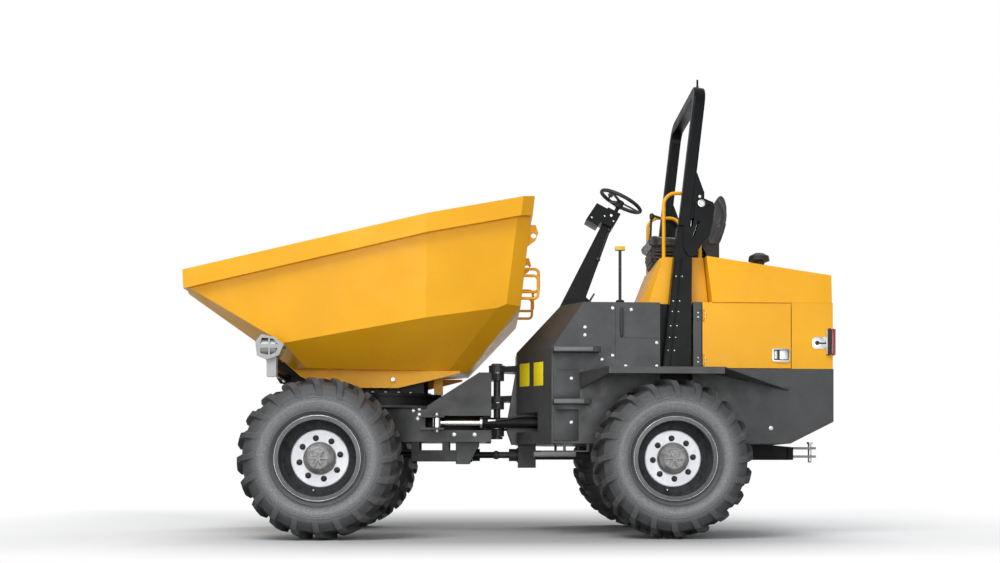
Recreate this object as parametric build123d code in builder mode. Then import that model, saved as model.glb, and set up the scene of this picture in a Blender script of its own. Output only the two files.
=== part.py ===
from build123d import *
import math
import os

os.makedirs("parts", exist_ok=True)

# Site dumper with a swivelling skip, articulated in the middle, in millimetres.
# X runs to the rear of the machine, the skip points to -X, the near side is -Y, Z is up.
# The origin is on the ground, under the middle of the machine's length and width.

# Driving dimensions of the whole machine
overall_length = 4868
tyre_radius = 585
tyre_width = 500
track = 1880
front_axle_x = -1463
rear_axle_x = 1095
pin_x = -181
slew_x = -1093
lip_x = -overall_length / 2
tail_x = overall_length / 2
wheel_y = track / 2

# Clearances and cuts
overrun = 40
running_fit = 0.05
panel_gap = 6
seat_gap = 0.3


def flat_xz(points, y_low, y_high, mode=Mode.ADD):
    """Plate with a side-view outline, between two distances from the middle."""
    with BuildSketch(Plane.XZ.offset(-y_high)) as outline:
        with BuildLine():
            Polyline(*points, close=True)
        make_face()
    extrude(outline.sketch, amount=y_high - y_low, mode=mode)


def flat_xy(points, z_low, z_high, mode=Mode.ADD):
    """Plate with a plan outline, between two heights."""
    with BuildSketch(Plane.XY.offset(z_low)) as outline:
        with BuildLine():
            Polyline(*points, close=True)
        make_face()
    extrude(outline.sketch, amount=z_high - z_low, mode=mode)


def flat_yz(points, x_low, x_high, mode=Mode.ADD):
    """Plate with a front-view outline, between two places along the machine."""
    with BuildSketch(Plane.YZ.offset(x_low)) as outline:
        with BuildLine():
            Polyline(*points, close=True)
        make_face()
    extrude(outline.sketch, amount=x_high - x_low, mode=mode)


def brick(x_low, x_high, y_low, y_high, z_low, z_high, mode=Mode.ADD):
    """Rectangular bar or block given by its limits."""
    corners = [(x_low, y_low), (x_high, y_low), (x_high, y_high), (x_low, y_high)]
    flat_xy(corners, z_low, z_high, mode)


def round_x(y, z, radius, x_low, x_high, mode=Mode.ADD):
    """Round bar along the machine."""
    with BuildSketch(Plane.YZ.offset(x_low)) as outline:
        with Locations((y, z)):
            Circle(radius)
    extrude(outline.sketch, amount=x_high - x_low, mode=mode)


def round_y(x, z, radius, y_low, y_high, mode=Mode.ADD):
    """Round bar across the machine."""
    with BuildSketch(Plane.XZ.offset(-y_high)) as outline:
        with Locations((x, z)):
            Circle(radius)
    extrude(outline.sketch, amount=y_high - y_low, mode=mode)


def round_z(x, y, radius, z_low, z_high, mode=Mode.ADD):
    """Upright round bar."""
    with BuildSketch(Plane.XY.offset(z_low)) as outline:
        with Locations((x, y)):
            Circle(radius)
    extrude(outline.sketch, amount=z_high - z_low, mode=mode)


def bent_tube(points, bend, radius):
    """Round tube along straight runs joined by bends."""
    with BuildLine() as route:
        FilletPolyline(*points, radius=bend)
    start = route.line @ 0
    heading = route.line % 0
    with BuildSketch(Plane(origin=start, z_dir=heading)) as outline:
        Circle(radius)
    sweep(outline.sketch, path=route.line)


def bounding_plane(a, b, c, inside):
    """Plane through three points, its normal pointing away from a point inside."""
    a, b, c, inside = Vector(*a), Vector(*b), Vector(*c), Vector(*inside)
    normal = (b - a).cross(c - a).normalized()
    if (inside - a).dot(normal) > 0:
        normal = -normal
    return Plane(origin=a, z_dir=normal)


def both_sides(a, b, c, inside):
    """The same bounding plane on the near and on the far side."""
    return [
        bounding_plane(
            *[(x, side * y, z) for x, y, z in (a, b, c)],
            inside,
        )
        for side in (1, -1)
    ]


def cut_by_planes(planes, middle, reach, inset):
    """Convex block left between planes that are all moved inwards by the inset."""
    with BuildPart() as block:
        add(Box(reach, reach, reach, mode=Mode.PRIVATE).moved(Location(middle)))
        for plane in planes:
            split(bisect_by=plane.offset(-inset), keep=Keep.BOTTOM)
    return block.part


def save(piece, name):
    """Label a finished piece and write it out."""
    piece.part.label = name
    export_step(piece.part, f"parts/{name}.step")


# Wheels: tyre, rim and planetary hub, drawn once about the Y axis with the outer side at -Y
lug_height = 34
lug_count = 20
rim_radius = 288
rim_half = 222
flange_radius = 305
flange_width = 13
barrel_wall = 14
disc_y = -95
disc_thickness = 16
disc_bore = 118
disc_step = 30
disc_edge = 200
hub_radius = 105
hub_flange_radius = 165
hub_face_y = -178
hub_back_y = 62
hub_cap_radius = 78
hub_rib = 10
spindle_radius = 60
spindle_end_y = -40
half_width = tyre_width / 2
tread_radius = tyre_radius - lug_height
wall_height = tread_radius - rim_radius

# Columns: share of the half width, share of the height from rim to tread
carcass_shares = [(rim_half / half_width, 0), (rim_half / half_width, 0.1), (0.93, 0.16), (1, 0.42), (0.985, 0.66), (0.88, 0.89), (0.5, 0.985)]
# Columns: share of the half width, share of the tyre's radius
envelope_shares = [(1, 0.76), (0.985, 0.90), (0.90, 0.962), (0.5, 1)]
# Columns: share of the half width across the tread, share of the radius round it
lug_shares = [(0.02, -0.045), (0.45, 0), (0.85, 0.075), (1.05, 0.13), (1.05, 0.2), (0.8, 0.135), (0.45, 0.065), (0.02, 0.03)]


def ring_section(shares, base, height):
    """Closed outline of a ring seen in section, from its own half outline."""
    half = [(share * half_width, base + rise * height) for share, rise in shares]
    other = [(-y, r) for y, r in reversed(half)]
    return half + other


with BuildPart() as carcass:
    with BuildSketch(Plane.YZ):
        with BuildLine():
            Polyline(*ring_section(carcass_shares, rim_radius, wall_height), close=True)
        make_face()
    revolve(axis=Axis.Y)

with BuildPart() as envelope:
    with BuildSketch(Plane.YZ):
        with BuildLine():
            Polyline(*ring_section(envelope_shares, 0, tyre_radius), close=True)
        make_face()
    revolve(axis=Axis.Y)


def one_lug(side):
    """One tread lug on top of the tyre, to one side of the middle."""
    outline = [(c * tyre_radius, side * y * half_width) for y, c in lug_shares]
    with BuildPart() as lug:
        with BuildSketch(Plane.XY.offset(tread_radius * envelope_shares[0][1])):
            with BuildLine():
                Polyline(*outline, close=True)
            make_face()
        extrude(amount=tyre_radius)
        add(envelope.part, mode=Mode.INTERSECT)
    return lug.part


lug_pitch = 360 / lug_count
lugs = []
for side, lead in ((1, 0), (-1, lug_pitch / 2)):
    pattern = one_lug(side)
    lugs += [pattern.rotate(Axis.Y, lead + turn * lug_pitch) for turn in range(lug_count)]

with BuildPart() as tyre_pattern:
    add(carcass.part)
    add(lugs)

barrel_out = rim_radius
barrel_in = rim_radius - barrel_wall
barrel_section = [
    (-rim_half - flange_width, flange_radius),
    (-rim_half - flange_width, barrel_in),
    (rim_half + flange_width, barrel_in),
    (rim_half + flange_width, flange_radius),
    (rim_half, flange_radius),
    (rim_half, barrel_out),
    (-rim_half, barrel_out),
    (-rim_half, flange_radius),
]
disc_section = [
    (disc_y, disc_bore),
    (disc_y, disc_edge),
    (disc_y + disc_step, barrel_in),
    (disc_y + disc_step + disc_thickness, barrel_in),
    (disc_y + disc_thickness, disc_edge),
    (disc_y + disc_thickness, disc_bore),
]
with BuildPart() as rim_pattern:
    with BuildSketch(Plane.YZ):
        with BuildLine():
            Polyline(*barrel_section, close=True)
        make_face()
        with BuildLine():
            Polyline(*disc_section, close=True)
        make_face()
    revolve(axis=Axis.Y)

hub_section = [
    (spindle_end_y - hub_rib, 0),
    (hub_face_y, 0),
    (hub_face_y, hub_cap_radius),
    (hub_face_y + disc_step, hub_radius),
    (disc_y + disc_thickness, hub_radius),
    (disc_y + disc_thickness, hub_flange_radius),
    (disc_y + disc_thickness + hub_rib, hub_flange_radius),
    (disc_y + disc_thickness + hub_rib + disc_step, hub_radius),
    (hub_back_y, hub_radius),
    (hub_back_y, spindle_radius + running_fit),
    (spindle_end_y - hub_rib, spindle_radius + running_fit),
]
hub_rib_count = 6
hub_rib_width = 12
hub_rib_height = 9
with BuildPart() as hub_pattern:
    with BuildSketch(Plane.YZ):
        with BuildLine():
            Polyline(*hub_section, close=True)
        make_face()
    revolve(axis=Axis.Y)
    with BuildSketch(Plane.XZ.offset(-hub_face_y - overrun / 2)):
        with PolarLocations(hub_cap_radius / 2, hub_rib_count):
            Rectangle(hub_cap_radius - hub_rib, hub_rib_width)
    extrude(amount=overrun / 2 + hub_rib_height)

# Columns: name, axle place along the machine, side
wheel_table = [
    ("front_near", front_axle_x, -1),
    ("front_far", front_axle_x, 1),
    ("rear_near", rear_axle_x, -1),
    ("rear_far", rear_axle_x, 1),
]
for wheel_name, axle_x, side in wheel_table:
    turn = 0 if side < 0 else 180
    place = Location((axle_x, side * wheel_y, tyre_radius), (0, 0, turn))
    for kind, pattern in (("tyre", tyre_pattern), ("rim", rim_pattern), ("hub", hub_pattern)):
        with BuildPart() as wheel_piece:
            add(pattern.part.moved(place))
        save(wheel_piece, f"{kind}_{wheel_name}")

# Axles: banjo housing, tubes, brake drums at the hubs and spindles
axle_tube = 78
banjo_radius = 162
banjo_half = 70
banjo_taper = 250
drum_radius = 140
drum_in = 690
drum_out = 862
nose_radius = 66
nose_reach = 300
pad_half = 70
rail_inner = 150
rail_wall = 22
front_plate_y = 280
front_plate_wall = 20
front_floor_z = 723
rear_floor_z = 717
spindle_root = wheel_y - hub_back_y - 1
spindle_tip = wheel_y + spindle_end_y * -1

# Columns: name, place, direction of the drive flange, middle of the pads, height they reach
axle_table = [
    ("front_axle", front_axle_x, 1, front_plate_y + front_plate_wall / 2, front_floor_z),
    ("rear_axle", rear_axle_x, -1, rail_inner + rail_wall / 2, rear_floor_z),
]
axle_half_section = [
    (0, banjo_radius),
    (banjo_half, banjo_radius),
    (banjo_taper, axle_tube),
    (drum_in, axle_tube),
    (drum_in, drum_radius),
    (drum_out, drum_radius),
    (drum_out, axle_tube),
    (spindle_root, axle_tube),
    (spindle_root, spindle_radius),
    (spindle_tip, spindle_radius),
    (spindle_tip, 0),
    (0, 0),
]
for axle_name, axle_x, heading, pad_y, pad_top in axle_table:
    with BuildPart() as axle:
        with BuildSketch(Plane.YZ):
            with BuildLine():
                Polyline(*axle_half_section, close=True)
            make_face()
            mirror(about=Plane.YZ)
        revolve(axis=Axis.Y)
    with BuildPart() as axle_whole:
        add(axle.part.moved(Location((axle_x, 0, tyre_radius))))
        ends = sorted((axle_x, axle_x + heading * nose_reach))
        round_x(0, tyre_radius, nose_radius, *ends)
        for side in (-1, 1):
            middle = side * pad_y
            brick(axle_x - pad_half, axle_x + pad_half, middle - axle_tube / 2, middle + axle_tube / 2,
                  tyre_radius, pad_top)
    save(axle_whole, axle_name)

# Skip: a plated hopper bounded by flat panels that meet at creases
skip_wall = 12
rim_slope = 0.235
lip_z = 1934
rim_rear_x = 78
rim_rear_z = lip_z + rim_slope * (rim_rear_x - lip_x)
crease_x = -695
rim_crease_z = lip_z + rim_slope * (crease_x - lip_x)
panel_lean = 0.19
side_base_z = 1800
side_base_half = 968
crease_low_z = 1618
rear_crease = (-9, 775, 1739)
rear_floor = (-416, 1268)
floor_z = rear_floor[1]
floor_front_half = 640
floor_mid = (-760, 485)
nose_crease = (-1748, 1428)
floor_front_x = -1516
nose_top = (-2380, 1745)
nose_foot = (-1560, 1150)
nose_side = (-2271, 1737)
nose_cut_half = 500
corner_cut = 80
skip_core = (-1000, 0, 1900)
skip_reach = 6000


def side_half(z):
    """Half width of the front side panel at a height."""
    return side_base_half + panel_lean * (z - side_base_z)


rear_top_half = 915
crease_top = (crease_x, side_half(rim_crease_z), rim_crease_z)
crease_low = (crease_x - 16, side_half(crease_low_z), crease_low_z)
lip_top = (lip_x, side_half(lip_z), lip_z)
rim_rear = (rim_rear_x, rear_top_half, rim_rear_z)
nose_corner = (nose_crease[0], side_half(nose_crease[1]), nose_crease[1])
floor_front = (floor_front_x, floor_front_half, floor_z)
floor_crease = (floor_mid[0], floor_mid[1], floor_z)
nose_edge = (nose_side[0], side_half(nose_side[1]), nose_side[1])
nose_rise = (nose_top[1] - nose_foot[1]) / (nose_top[0] - nose_foot[0])
nose_mid_z = nose_foot[1] + nose_rise * (floor_front_x - 200 - nose_foot[0])
nose_mid = (floor_front_x - 200, nose_cut_half, nose_mid_z)


def across(x, z):
    """Two points at one place on the side view, to set a plane that spans the width."""
    return (x, -skip_wall, z), (x, skip_wall, z)


rim_plane = bounding_plane(*across(lip_x, lip_z), (rim_rear_x, 0, rim_rear_z), skip_core)
lip_plane = bounding_plane(*across(lip_x, lip_z), (lip_x, 0, nose_top[1]), skip_core)
nose_plane = bounding_plane(*across(*nose_top), (nose_foot[0], 0, nose_foot[1]), skip_core)
floor_plane = bounding_plane(*across(*rear_floor), (floor_front_x, 0, floor_z), skip_core)
rear_plane = bounding_plane(*across(rim_rear_x, rim_rear_z), (rear_crease[0], 0, rear_crease[2]), skip_core)
slope_plane = bounding_plane(*across(rear_crease[0], rear_crease[2]), (rear_floor[0], 0, floor_z), skip_core)
corner_top = [(rim_rear_x - corner_cut, rear_top_half, rim_rear_z), (rim_rear_x, rear_top_half - corner_cut, rim_rear_z)]
corner_low = (rear_crease[0] - corner_cut, rear_crease[1], rear_crease[2])
rear_low_half = 328
slope_corner = [
    (rear_crease[0] - corner_cut, rear_crease[1], rear_crease[2]),
    (rear_crease[0], rear_crease[1] - corner_cut, rear_crease[2]),
    (rear_floor[0], rear_low_half - corner_cut, floor_z),
]
skip_planes = [lip_plane, nose_plane, floor_plane, rear_plane, slope_plane]
skip_planes += both_sides(lip_top, crease_top, crease_low, skip_core)
skip_planes += both_sides(crease_top, crease_low, rear_crease, skip_core)
skip_planes += both_sides(nose_corner, crease_low, floor_front, skip_core)
skip_planes += both_sides(crease_low, rear_crease, floor_crease, skip_core)
skip_planes += both_sides(nose_edge, nose_corner, nose_mid, skip_core)
skip_planes += both_sides(*corner_top, corner_low, skip_core)
skip_planes += both_sides(*slope_corner, skip_core)

band_height = 128
band_out = 46
skip_outer = cut_by_planes([rim_plane] + skip_planes, skip_core, skip_reach, 0)
skip_cavity = cut_by_planes(skip_planes, skip_core, skip_reach, skip_wall)
rim_plane_low = Plane(origin=rim_plane.origin - rim_plane.z_dir * band_height, z_dir=-rim_plane.z_dir)

# Rim band: a box section that stands out from the sides and the rear, open over the lip's middle
band_side_planes = [rim_plane, rim_plane_low, lip_plane]
band_side_planes += [plane.offset(band_out) for plane in both_sides(lip_top, crease_top, crease_low, skip_core)]
band_side_planes += [plane.offset(band_out) for plane in both_sides(crease_top, crease_low, rear_crease, skip_core)]
band_side_planes += [plane.offset(band_out) for plane in both_sides(*corner_top, corner_low, skip_core)]
band_side_planes += [rear_plane.offset(skip_wall)]
rim_band = cut_by_planes(band_side_planes, skip_core, skip_reach, 0)

with BuildPart() as skip:
    add(skip_outer)
    add(rim_band)
    add(skip_cavity, mode=Mode.SUBTRACT)
save(skip, "skip")

# Skip underframe: two long plates, ram cheeks, pivot lugs, all welded under the floor
tip_x = -1935
tip_z = 1365
tip_pin_radius = 25
lug_radius = 42
round_share = 0.7
keel_y = 430
keel_wall = 20
keel_bar = 24
keel_base_z = 1134
ram_y = 200
ram_eye_x = -986
ram_eye_z = 1200
cheek_gap = 42
cheek_wall = 16
cheek_half = 75
cheek_low_z = 1150
boss_radius = 26
boss_out = 14
lug_y = 300
lug_wall = 30
keel_front_x = -1840
keel_shoulder = (-1692, 1220)
keel_knee_x = -1515
keel_low_x = -948
keel_rise = (-627, 1211)
keel_rear = (-470, 1252)
lock_tab = (-688, -620)
lock_tab_half = 60
lock_tab_low_z = 1108


def nose_z(x):
    """Height of the nose plate's outer face on the middle."""
    return nose_foot[1] + nose_rise * (x - nose_foot[0])


keel_points = [
    (nose_foot[0] + (floor_z - nose_foot[1]) / nose_rise, floor_z),
    (keel_front_x, nose_z(keel_front_x)),
    keel_shoulder,
    (keel_knee_x, keel_base_z),
    (keel_low_x, keel_base_z),
    keel_rise,
    keel_rear,
    (keel_rear[0], floor_z),
]
pivot_lug_points = [
    (tip_x - lug_radius, nose_z(tip_x - lug_radius)),
    (tip_x - lug_radius, tip_z),
    (tip_x - lug_radius * round_share, tip_z - lug_radius * round_share),
    (tip_x, tip_z - lug_radius),
    (tip_x + lug_radius * round_share, tip_z - lug_radius * round_share),
    (tip_x + lug_radius * 2.5, nose_z(tip_x + lug_radius * 2.5)),
]
with BuildPart() as underframe:
    for side in (-1, 1):
        span = sorted((side * keel_y, side * (keel_y + keel_wall)))
        flat_xz(keel_points, *span)
        boss = sorted((side * (keel_y + keel_wall), side * (keel_y + keel_wall + boss_out)))
        round_y(ram_eye_x, ram_eye_z, boss_radius, *boss)
        lug_span = sorted((side * lug_y, side * (lug_y + lug_wall)))
        flat_xz(pivot_lug_points, *lug_span)
        for inner in (ram_y - cheek_gap - cheek_wall, ram_y + cheek_gap):
            cheek = sorted((side * inner, side * (inner + cheek_wall)))
            brick(ram_eye_x - cheek_half, ram_eye_x + cheek_half, *cheek, cheek_low_z, floor_z)
    for bar_x in (-1240, lock_tab[0] + keel_wall):
        brick(bar_x - keel_wall, bar_x + keel_wall, -keel_y, keel_y, floor_z - keel_bar, floor_z)
    brick(*lock_tab, -lock_tab_half, lock_tab_half, lock_tab_low_z, floor_z)
    round_y(tip_x, tip_z, tip_pin_radius + running_fit, -lug_y * 2, lug_y * 2, mode=Mode.SUBTRACT)
save(underframe, "skip_underframe")

# Grab loops, lifting eyes on the skip's rear wall
loop_y = 600
loop_radius = 11
loop_out = 108
eye_y = 600
eye_wall = 20


def rear_wall_x(z):
    """Place of the skip's rear wall at a height."""
    return rear_crease[0] + (rim_rear_x - rear_crease[0]) * (z - rear_crease[2]) / (rim_rear_z - rear_crease[2])


# Columns: low height, high height of a loop
loop_table = [(1812, 1985), (1870, 2045)]
with BuildPart() as handles_flush:
    for side in (-1, 1):
        for number, (low, high) in enumerate(loop_table):
            y = side * (loop_y - number * loop_radius * 5)
            foot_low = rear_wall_x(low) - loop_radius / 2
            foot_high = rear_wall_x(high) - loop_radius / 2
            out = rear_wall_x(high) + loop_out
            bent_tube([(foot_low, y, low), (out, y, low), (out, y, high), (foot_high, y, high)],
                      loop_radius * 3, loop_radius)
        eye_span = sorted((side * (eye_y + 90), side * (eye_y + 90 + eye_wall)))
        eye_points = [
            (rear_wall_x(2350), 2350),
            (rear_wall_x(2350) + 45, 2350),
            (rear_wall_x(2300) + 70, 2290),
            (rear_wall_x(2200) + 60, 2235),
            (rear_wall_x(2200), 2190),
        ]
        flat_xz(eye_points, *eye_span)
        round_y(rear_wall_x(2270) + 38, 2270, 20, -1000, 1000, mode=Mode.SUBTRACT)
    add(skip_outer, mode=Mode.SUBTRACT)
with BuildPart() as skip_handles:
    add(handles_flush.part.moved(Location((seat_gap, 0, 0))))
save(skip_handles, "skip_handles")

# Turret that swivels on the front chassis and carries the skip, its rams and the lamps
ring_radius = 450
ring_bore = 330
ring_low_z = 1004
turret_low_z = 1074
turret_plate = 24
turret_y = 345
turret_wall = 22
turret_radius = 470
ram_pin_x = -1640
ram_pin_z = 1160
ram_pin_radius = 28
lamp_arm_z = 1214
lamp_arm_radius = 30
lamp_y = 1010
lamp_arm_x = -1806
arm_tip_radius = 38
arm_tip_corner = 28
arm_neck = (61, -10)
arm_foot = (-1862, 1172)
arm_root = (-1700, 1135)
arm_top_z = 1128
post_front = (-900, 1262)
post_rear = (-755, 1262)
turret_points = [
    (post_rear[0], turret_low_z + turret_plate),
    post_rear,
    post_front,
    (-1000, arm_top_z),
    (-1500, arm_top_z),
    (-1690, 1235),
    (tip_x + arm_neck[0], tip_z + arm_neck[1]),
    (tip_x + arm_tip_corner, tip_z + arm_tip_corner),
    (tip_x, tip_z + arm_tip_radius),
    (tip_x - arm_tip_corner, tip_z + arm_tip_corner),
    (tip_x - arm_tip_radius, tip_z),
    arm_foot,
    arm_root,
    (-1650, turret_low_z + turret_plate),
]
with BuildPart() as turret:
    round_z(slew_x, 0, turret_radius, turret_low_z, turret_low_z + turret_plate)
    brick(-1645, slew_x, -turret_y - turret_wall, turret_y + turret_wall, turret_low_z, turret_low_z + turret_plate)
    for side in (-1, 1):
        span = sorted((side * turret_y, side * (turret_y + turret_wall)))
        flat_xz(turret_points, *span)
    round_y(ram_pin_x, ram_pin_z, ram_pin_radius, -turret_y, turret_y)
    round_y(tip_x, tip_z, tip_pin_radius, -turret_y - turret_wall - 20, turret_y + turret_wall + 20)
    round_y(lamp_arm_x, lamp_arm_z, lamp_arm_radius, -lamp_y, lamp_y)
save(turret, "turret")

with BuildPart() as slew_ring:
    with BuildSketch(Plane.XY.offset(ring_low_z)):
        with Locations((slew_x, 0)):
            Circle(ring_radius)
            Circle(ring_bore, mode=Mode.SUBTRACT)
    extrude(amount=turret_low_z - ring_low_z - seat_gap)
save(slew_ring, "slew_ring")

# Work lamps in plate guards at the ends of the turret's lamp arms
lamp_radius = 66
lamp_depth = 78
guard_x = -1812
guard_z = 1388
guard_half = 58
guard_wall = 8
guard_points = [
    (guard_x - 92, guard_z - 68),
    (guard_x - 104, guard_z + 30),
    (guard_x - 62, guard_z + 84),
    (guard_x + 30, guard_z + 66),
    (guard_x + 98, guard_z + 14),
    (guard_x + 62, guard_z - 66),
    (guard_x - 18, guard_z - 96),
]
guard_share = 0.84
# Columns: place and height of the windows' corners in the guard's cheeks
window_table = [
    [(guard_x - 70, guard_z + 14), (guard_x - 12, guard_z + 14), (guard_x - 12, guard_z + 58), (guard_x - 58, guard_z + 58)],
    [(guard_x, guard_z + 14), (guard_x + 52, guard_z + 14), (guard_x + 24, guard_z + 52), (guard_x, guard_z + 56)],
    [(guard_x - 66, guard_z - 52), (guard_x - 12, guard_z - 62), (guard_x - 12, guard_z - 14), (guard_x - 70, guard_z - 14)],
    [(guard_x, guard_z - 62), (guard_x + 40, guard_z - 46), (guard_x + 52, guard_z - 14), (guard_x, guard_z - 14)],
]
bracket_x = lamp_arm_x
bracket_half = 34
with BuildPart() as lamps:
    for side in (-1, 1):
        middle = side * lamp_y
        flat_xz(guard_points, middle - guard_half, middle + guard_half)
        hollow = [(guard_x + (x - guard_x) * guard_share, guard_z + (z - guard_z) * guard_share) for x, z in guard_points]
        flat_xz(hollow, middle - guard_half + guard_wall, middle + guard_half - guard_wall, mode=Mode.SUBTRACT)
        brick(guard_x - lamp_depth * 2, guard_x - lamp_depth, middle - guard_half + guard_wall, middle + guard_half - guard_wall,
              guard_z - lamp_radius, guard_z + lamp_radius / 2, mode=Mode.SUBTRACT)
        for window in window_table:
            flat_xz(window, middle - guard_half * 2, middle + guard_half * 2, mode=Mode.SUBTRACT)
        round_x(middle, guard_z, guard_half - guard_wall / 2, guard_x - lamp_depth, guard_x + lamp_depth / 2)
        brick(bracket_x - bracket_half, bracket_x + bracket_half, middle - bracket_half, middle + bracket_half,
              lamp_arm_z - lamp_arm_radius * 1.4, guard_z - guard_half)
        round_y(bracket_x, lamp_arm_z, lamp_arm_radius, -lamp_y, lamp_y, mode=Mode.SUBTRACT)
save(lamps, "work_lamps")

# Tipping rams: one barrel pair on a cross tube, one rod pair
barrel_radius = 48
tip_rod_radius = 27
tip_eye_radius = 46
tip_eye_half = 38
ram_run = math.dist((ram_pin_x, ram_pin_z), (ram_eye_x, ram_eye_z))
ram_angle = math.degrees(math.atan2(ram_eye_z - ram_pin_z, ram_eye_x - ram_pin_x))
ram_barrel_length = 500
ram_plane = Plane(origin=(ram_pin_x, 0, ram_pin_z), x_dir=(0, 1, 0),
                  z_dir=(math.cos(math.radians(ram_angle)), 0, math.sin(math.radians(ram_angle))))
with BuildPart() as tip_barrels:
    for side in (-1, 1):
        with BuildSketch(ram_plane.offset(ram_pin_radius)):
            with Locations((side * ram_y, 0)):
                Circle(barrel_radius)
        extrude(amount=ram_barrel_length - ram_pin_radius)
    round_y(ram_pin_x, ram_pin_z, barrel_radius - 2, -ram_y - barrel_radius, ram_y + barrel_radius)
    round_y(ram_pin_x, ram_pin_z, ram_pin_radius + running_fit, -turret_y, turret_y, mode=Mode.SUBTRACT)
    for side in (-1, 1):
        with BuildSketch(ram_plane.offset(ram_pin_radius * 3)):
            with Locations((side * ram_y, 0)):
                Circle(tip_rod_radius + running_fit)
        extrude(amount=ram_barrel_length, mode=Mode.SUBTRACT)
save(tip_barrels, "tip_barrels")

with BuildPart() as tip_rods:
    for side in (-1, 1):
        with BuildSketch(ram_plane.offset(ram_pin_radius * 3 + 2)):
            with Locations((side * ram_y, 0)):
                Circle(tip_rod_radius)
        extrude(amount=ram_run - ram_pin_radius * 3 - 2)
        span = (side * ram_y - tip_eye_half, side * ram_y + tip_eye_half)
        round_y(ram_eye_x, ram_eye_z, tip_eye_radius, *span)
save(tip_rods, "tip_rods")

# Places of the steering rams, shared by both chassis and the tub
steer_z = 872
steer_front_x = pin_x - 474
steer_rear_x = pin_x + 365
steer_y = 330
steer_gap = 40
steer_pin_radius = 20
steer_barrel = 42
anchor_clear = 4
anchor_wall = 16
anchor_half = 45
tub_half = 600
# Columns: side, word for it
side_table = [(-1, "near"), (1, "far")]

# Front chassis: side plates with rear gussets, deck under the slew ring, pin bearings
front_end_x = -1930
gusset_top = 1270
gusset_rear_x = -325
plate_tip_x = -735
post_radius = 28
bearing_radius = 58
front_back_x = -228
front_cross_x = -270
front_back_wall = 20
ram_slot_half = 56
steer_eye = 38
steer_drift = 52
ram_slot_front = steer_front_x - steer_eye - steer_drift
ram_slot_inner = 150
# Columns: low and high height of each bearing of the articulation pin
bearing_table = [(1225, 1285), (995, 1045), (775, 835)]
chassis_points = [
    (front_back_x, front_floor_z),
    (front_back_x, gusset_top),
    (gusset_rear_x, gusset_top),
    (plate_tip_x, ring_low_z),
    (-1750, ring_low_z),
    (front_end_x, 900),
    (front_end_x, 780),
    (-1870, front_floor_z),
]
guard_bar_y = 190
guard_bar_wall = 18
guard_low_z = 572
guard_high_z = 660
guard_dip_x = (-510, -405)
guard_rear_x = -325
guard_points_low = [
    (-860, guard_low_z),
    (guard_dip_x[0], guard_low_z),
    (guard_dip_x[0], 550),
    (guard_dip_x[1], 550),
    (guard_rear_x, 700),
    (guard_rear_x, front_floor_z + front_plate_wall),
    (guard_dip_x[0], front_floor_z + front_plate_wall),
    (guard_dip_x[0], guard_high_z),
    (-860, guard_high_z),
]
# Columns: front end, rear end of each tab that hangs the guard bars
guard_tabs = [(-860, -800), (-617, -564)]
with BuildPart() as front_chassis:
    for side in (-1, 1):
        span = sorted((side * front_plate_y, side * (front_plate_y + front_plate_wall)))
        flat_xz(chassis_points, *span)
        bar = sorted((side * guard_bar_y, side * (guard_bar_y + guard_bar_wall)))
        flat_xz(guard_points_low, *bar)
        for x_low, x_high in guard_tabs:
            brick(x_low, x_high, *bar, guard_low_z + guard_bar_wall, front_floor_z + front_plate_wall)
    round_z(slew_x, 0, ring_radius + 20, ring_low_z - front_plate_wall, ring_low_z)
    brick(front_end_x, front_end_x + front_plate_wall, -front_plate_y, front_plate_y, 780, 900)
    brick(front_cross_x - front_back_wall, front_cross_x, -front_plate_y, front_plate_y, front_floor_z, gusset_top)
    brick(-1250, front_cross_x, -front_plate_y, front_plate_y, front_floor_z, front_floor_z + front_plate_wall)
    brick(-600, -470, -front_plate_y, front_plate_y, turret_low_z, turret_low_z + front_plate_wall)
    brick(-1870, -1680, -front_plate_y, front_plate_y, front_floor_z, front_floor_z + front_plate_wall)
    for low, high in bearing_table:
        round_z(pin_x, 0, bearing_radius, low, high)
        flat_xy([(pin_x, -bearing_radius), (pin_x, bearing_radius), (front_cross_x - front_back_wall / 2, 130),
                 (front_cross_x - front_back_wall / 2, -130)], low, high)
    round_z(pin_x, 0, post_radius + running_fit, front_floor_z, gusset_top + 200, mode=Mode.SUBTRACT)
    for side in (-1, 1):
        slot = sorted((side * ram_slot_inner, side * (steer_y + tub_half)))
        brick(ram_slot_front, front_back_x + overrun, *slot, steer_z - ram_slot_half, steer_z + ram_slot_half,
              mode=Mode.SUBTRACT)
        span = sorted((side * front_plate_y, side * (steer_y + 45)))
        brick(ram_slot_front - overrun, steer_front_x + 60, *span, steer_z + steer_gap, steer_z + ram_slot_half)
        brick(ram_slot_front - overrun, steer_front_x + 60, *span, steer_z - ram_slot_half, steer_z - steer_gap)
save(front_chassis, "front_chassis")

# Rear chassis: nose wedge, articulation pin and its arms, long rails under tub and engine
nose_points = [
    (-30, 1290),
    (-90, 943),
    (-100, 818),
    (-62, 709),
    (36, 709),
    (36, rear_floor_z),
    (2060, rear_floor_z),
    (2290, 842),
    (2290, 900),
    (300, 900),
    (200, 1290),
]
pin_low_z = 752
pin_arm_top_z = 1338
pin_collar_radius = 68
pin_collar_height = 10
pin_cap_radius = 46
pin_cap_height = 16
pin_play = 3
pin_top_z = pin_arm_top_z + pin_collar_height
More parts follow.
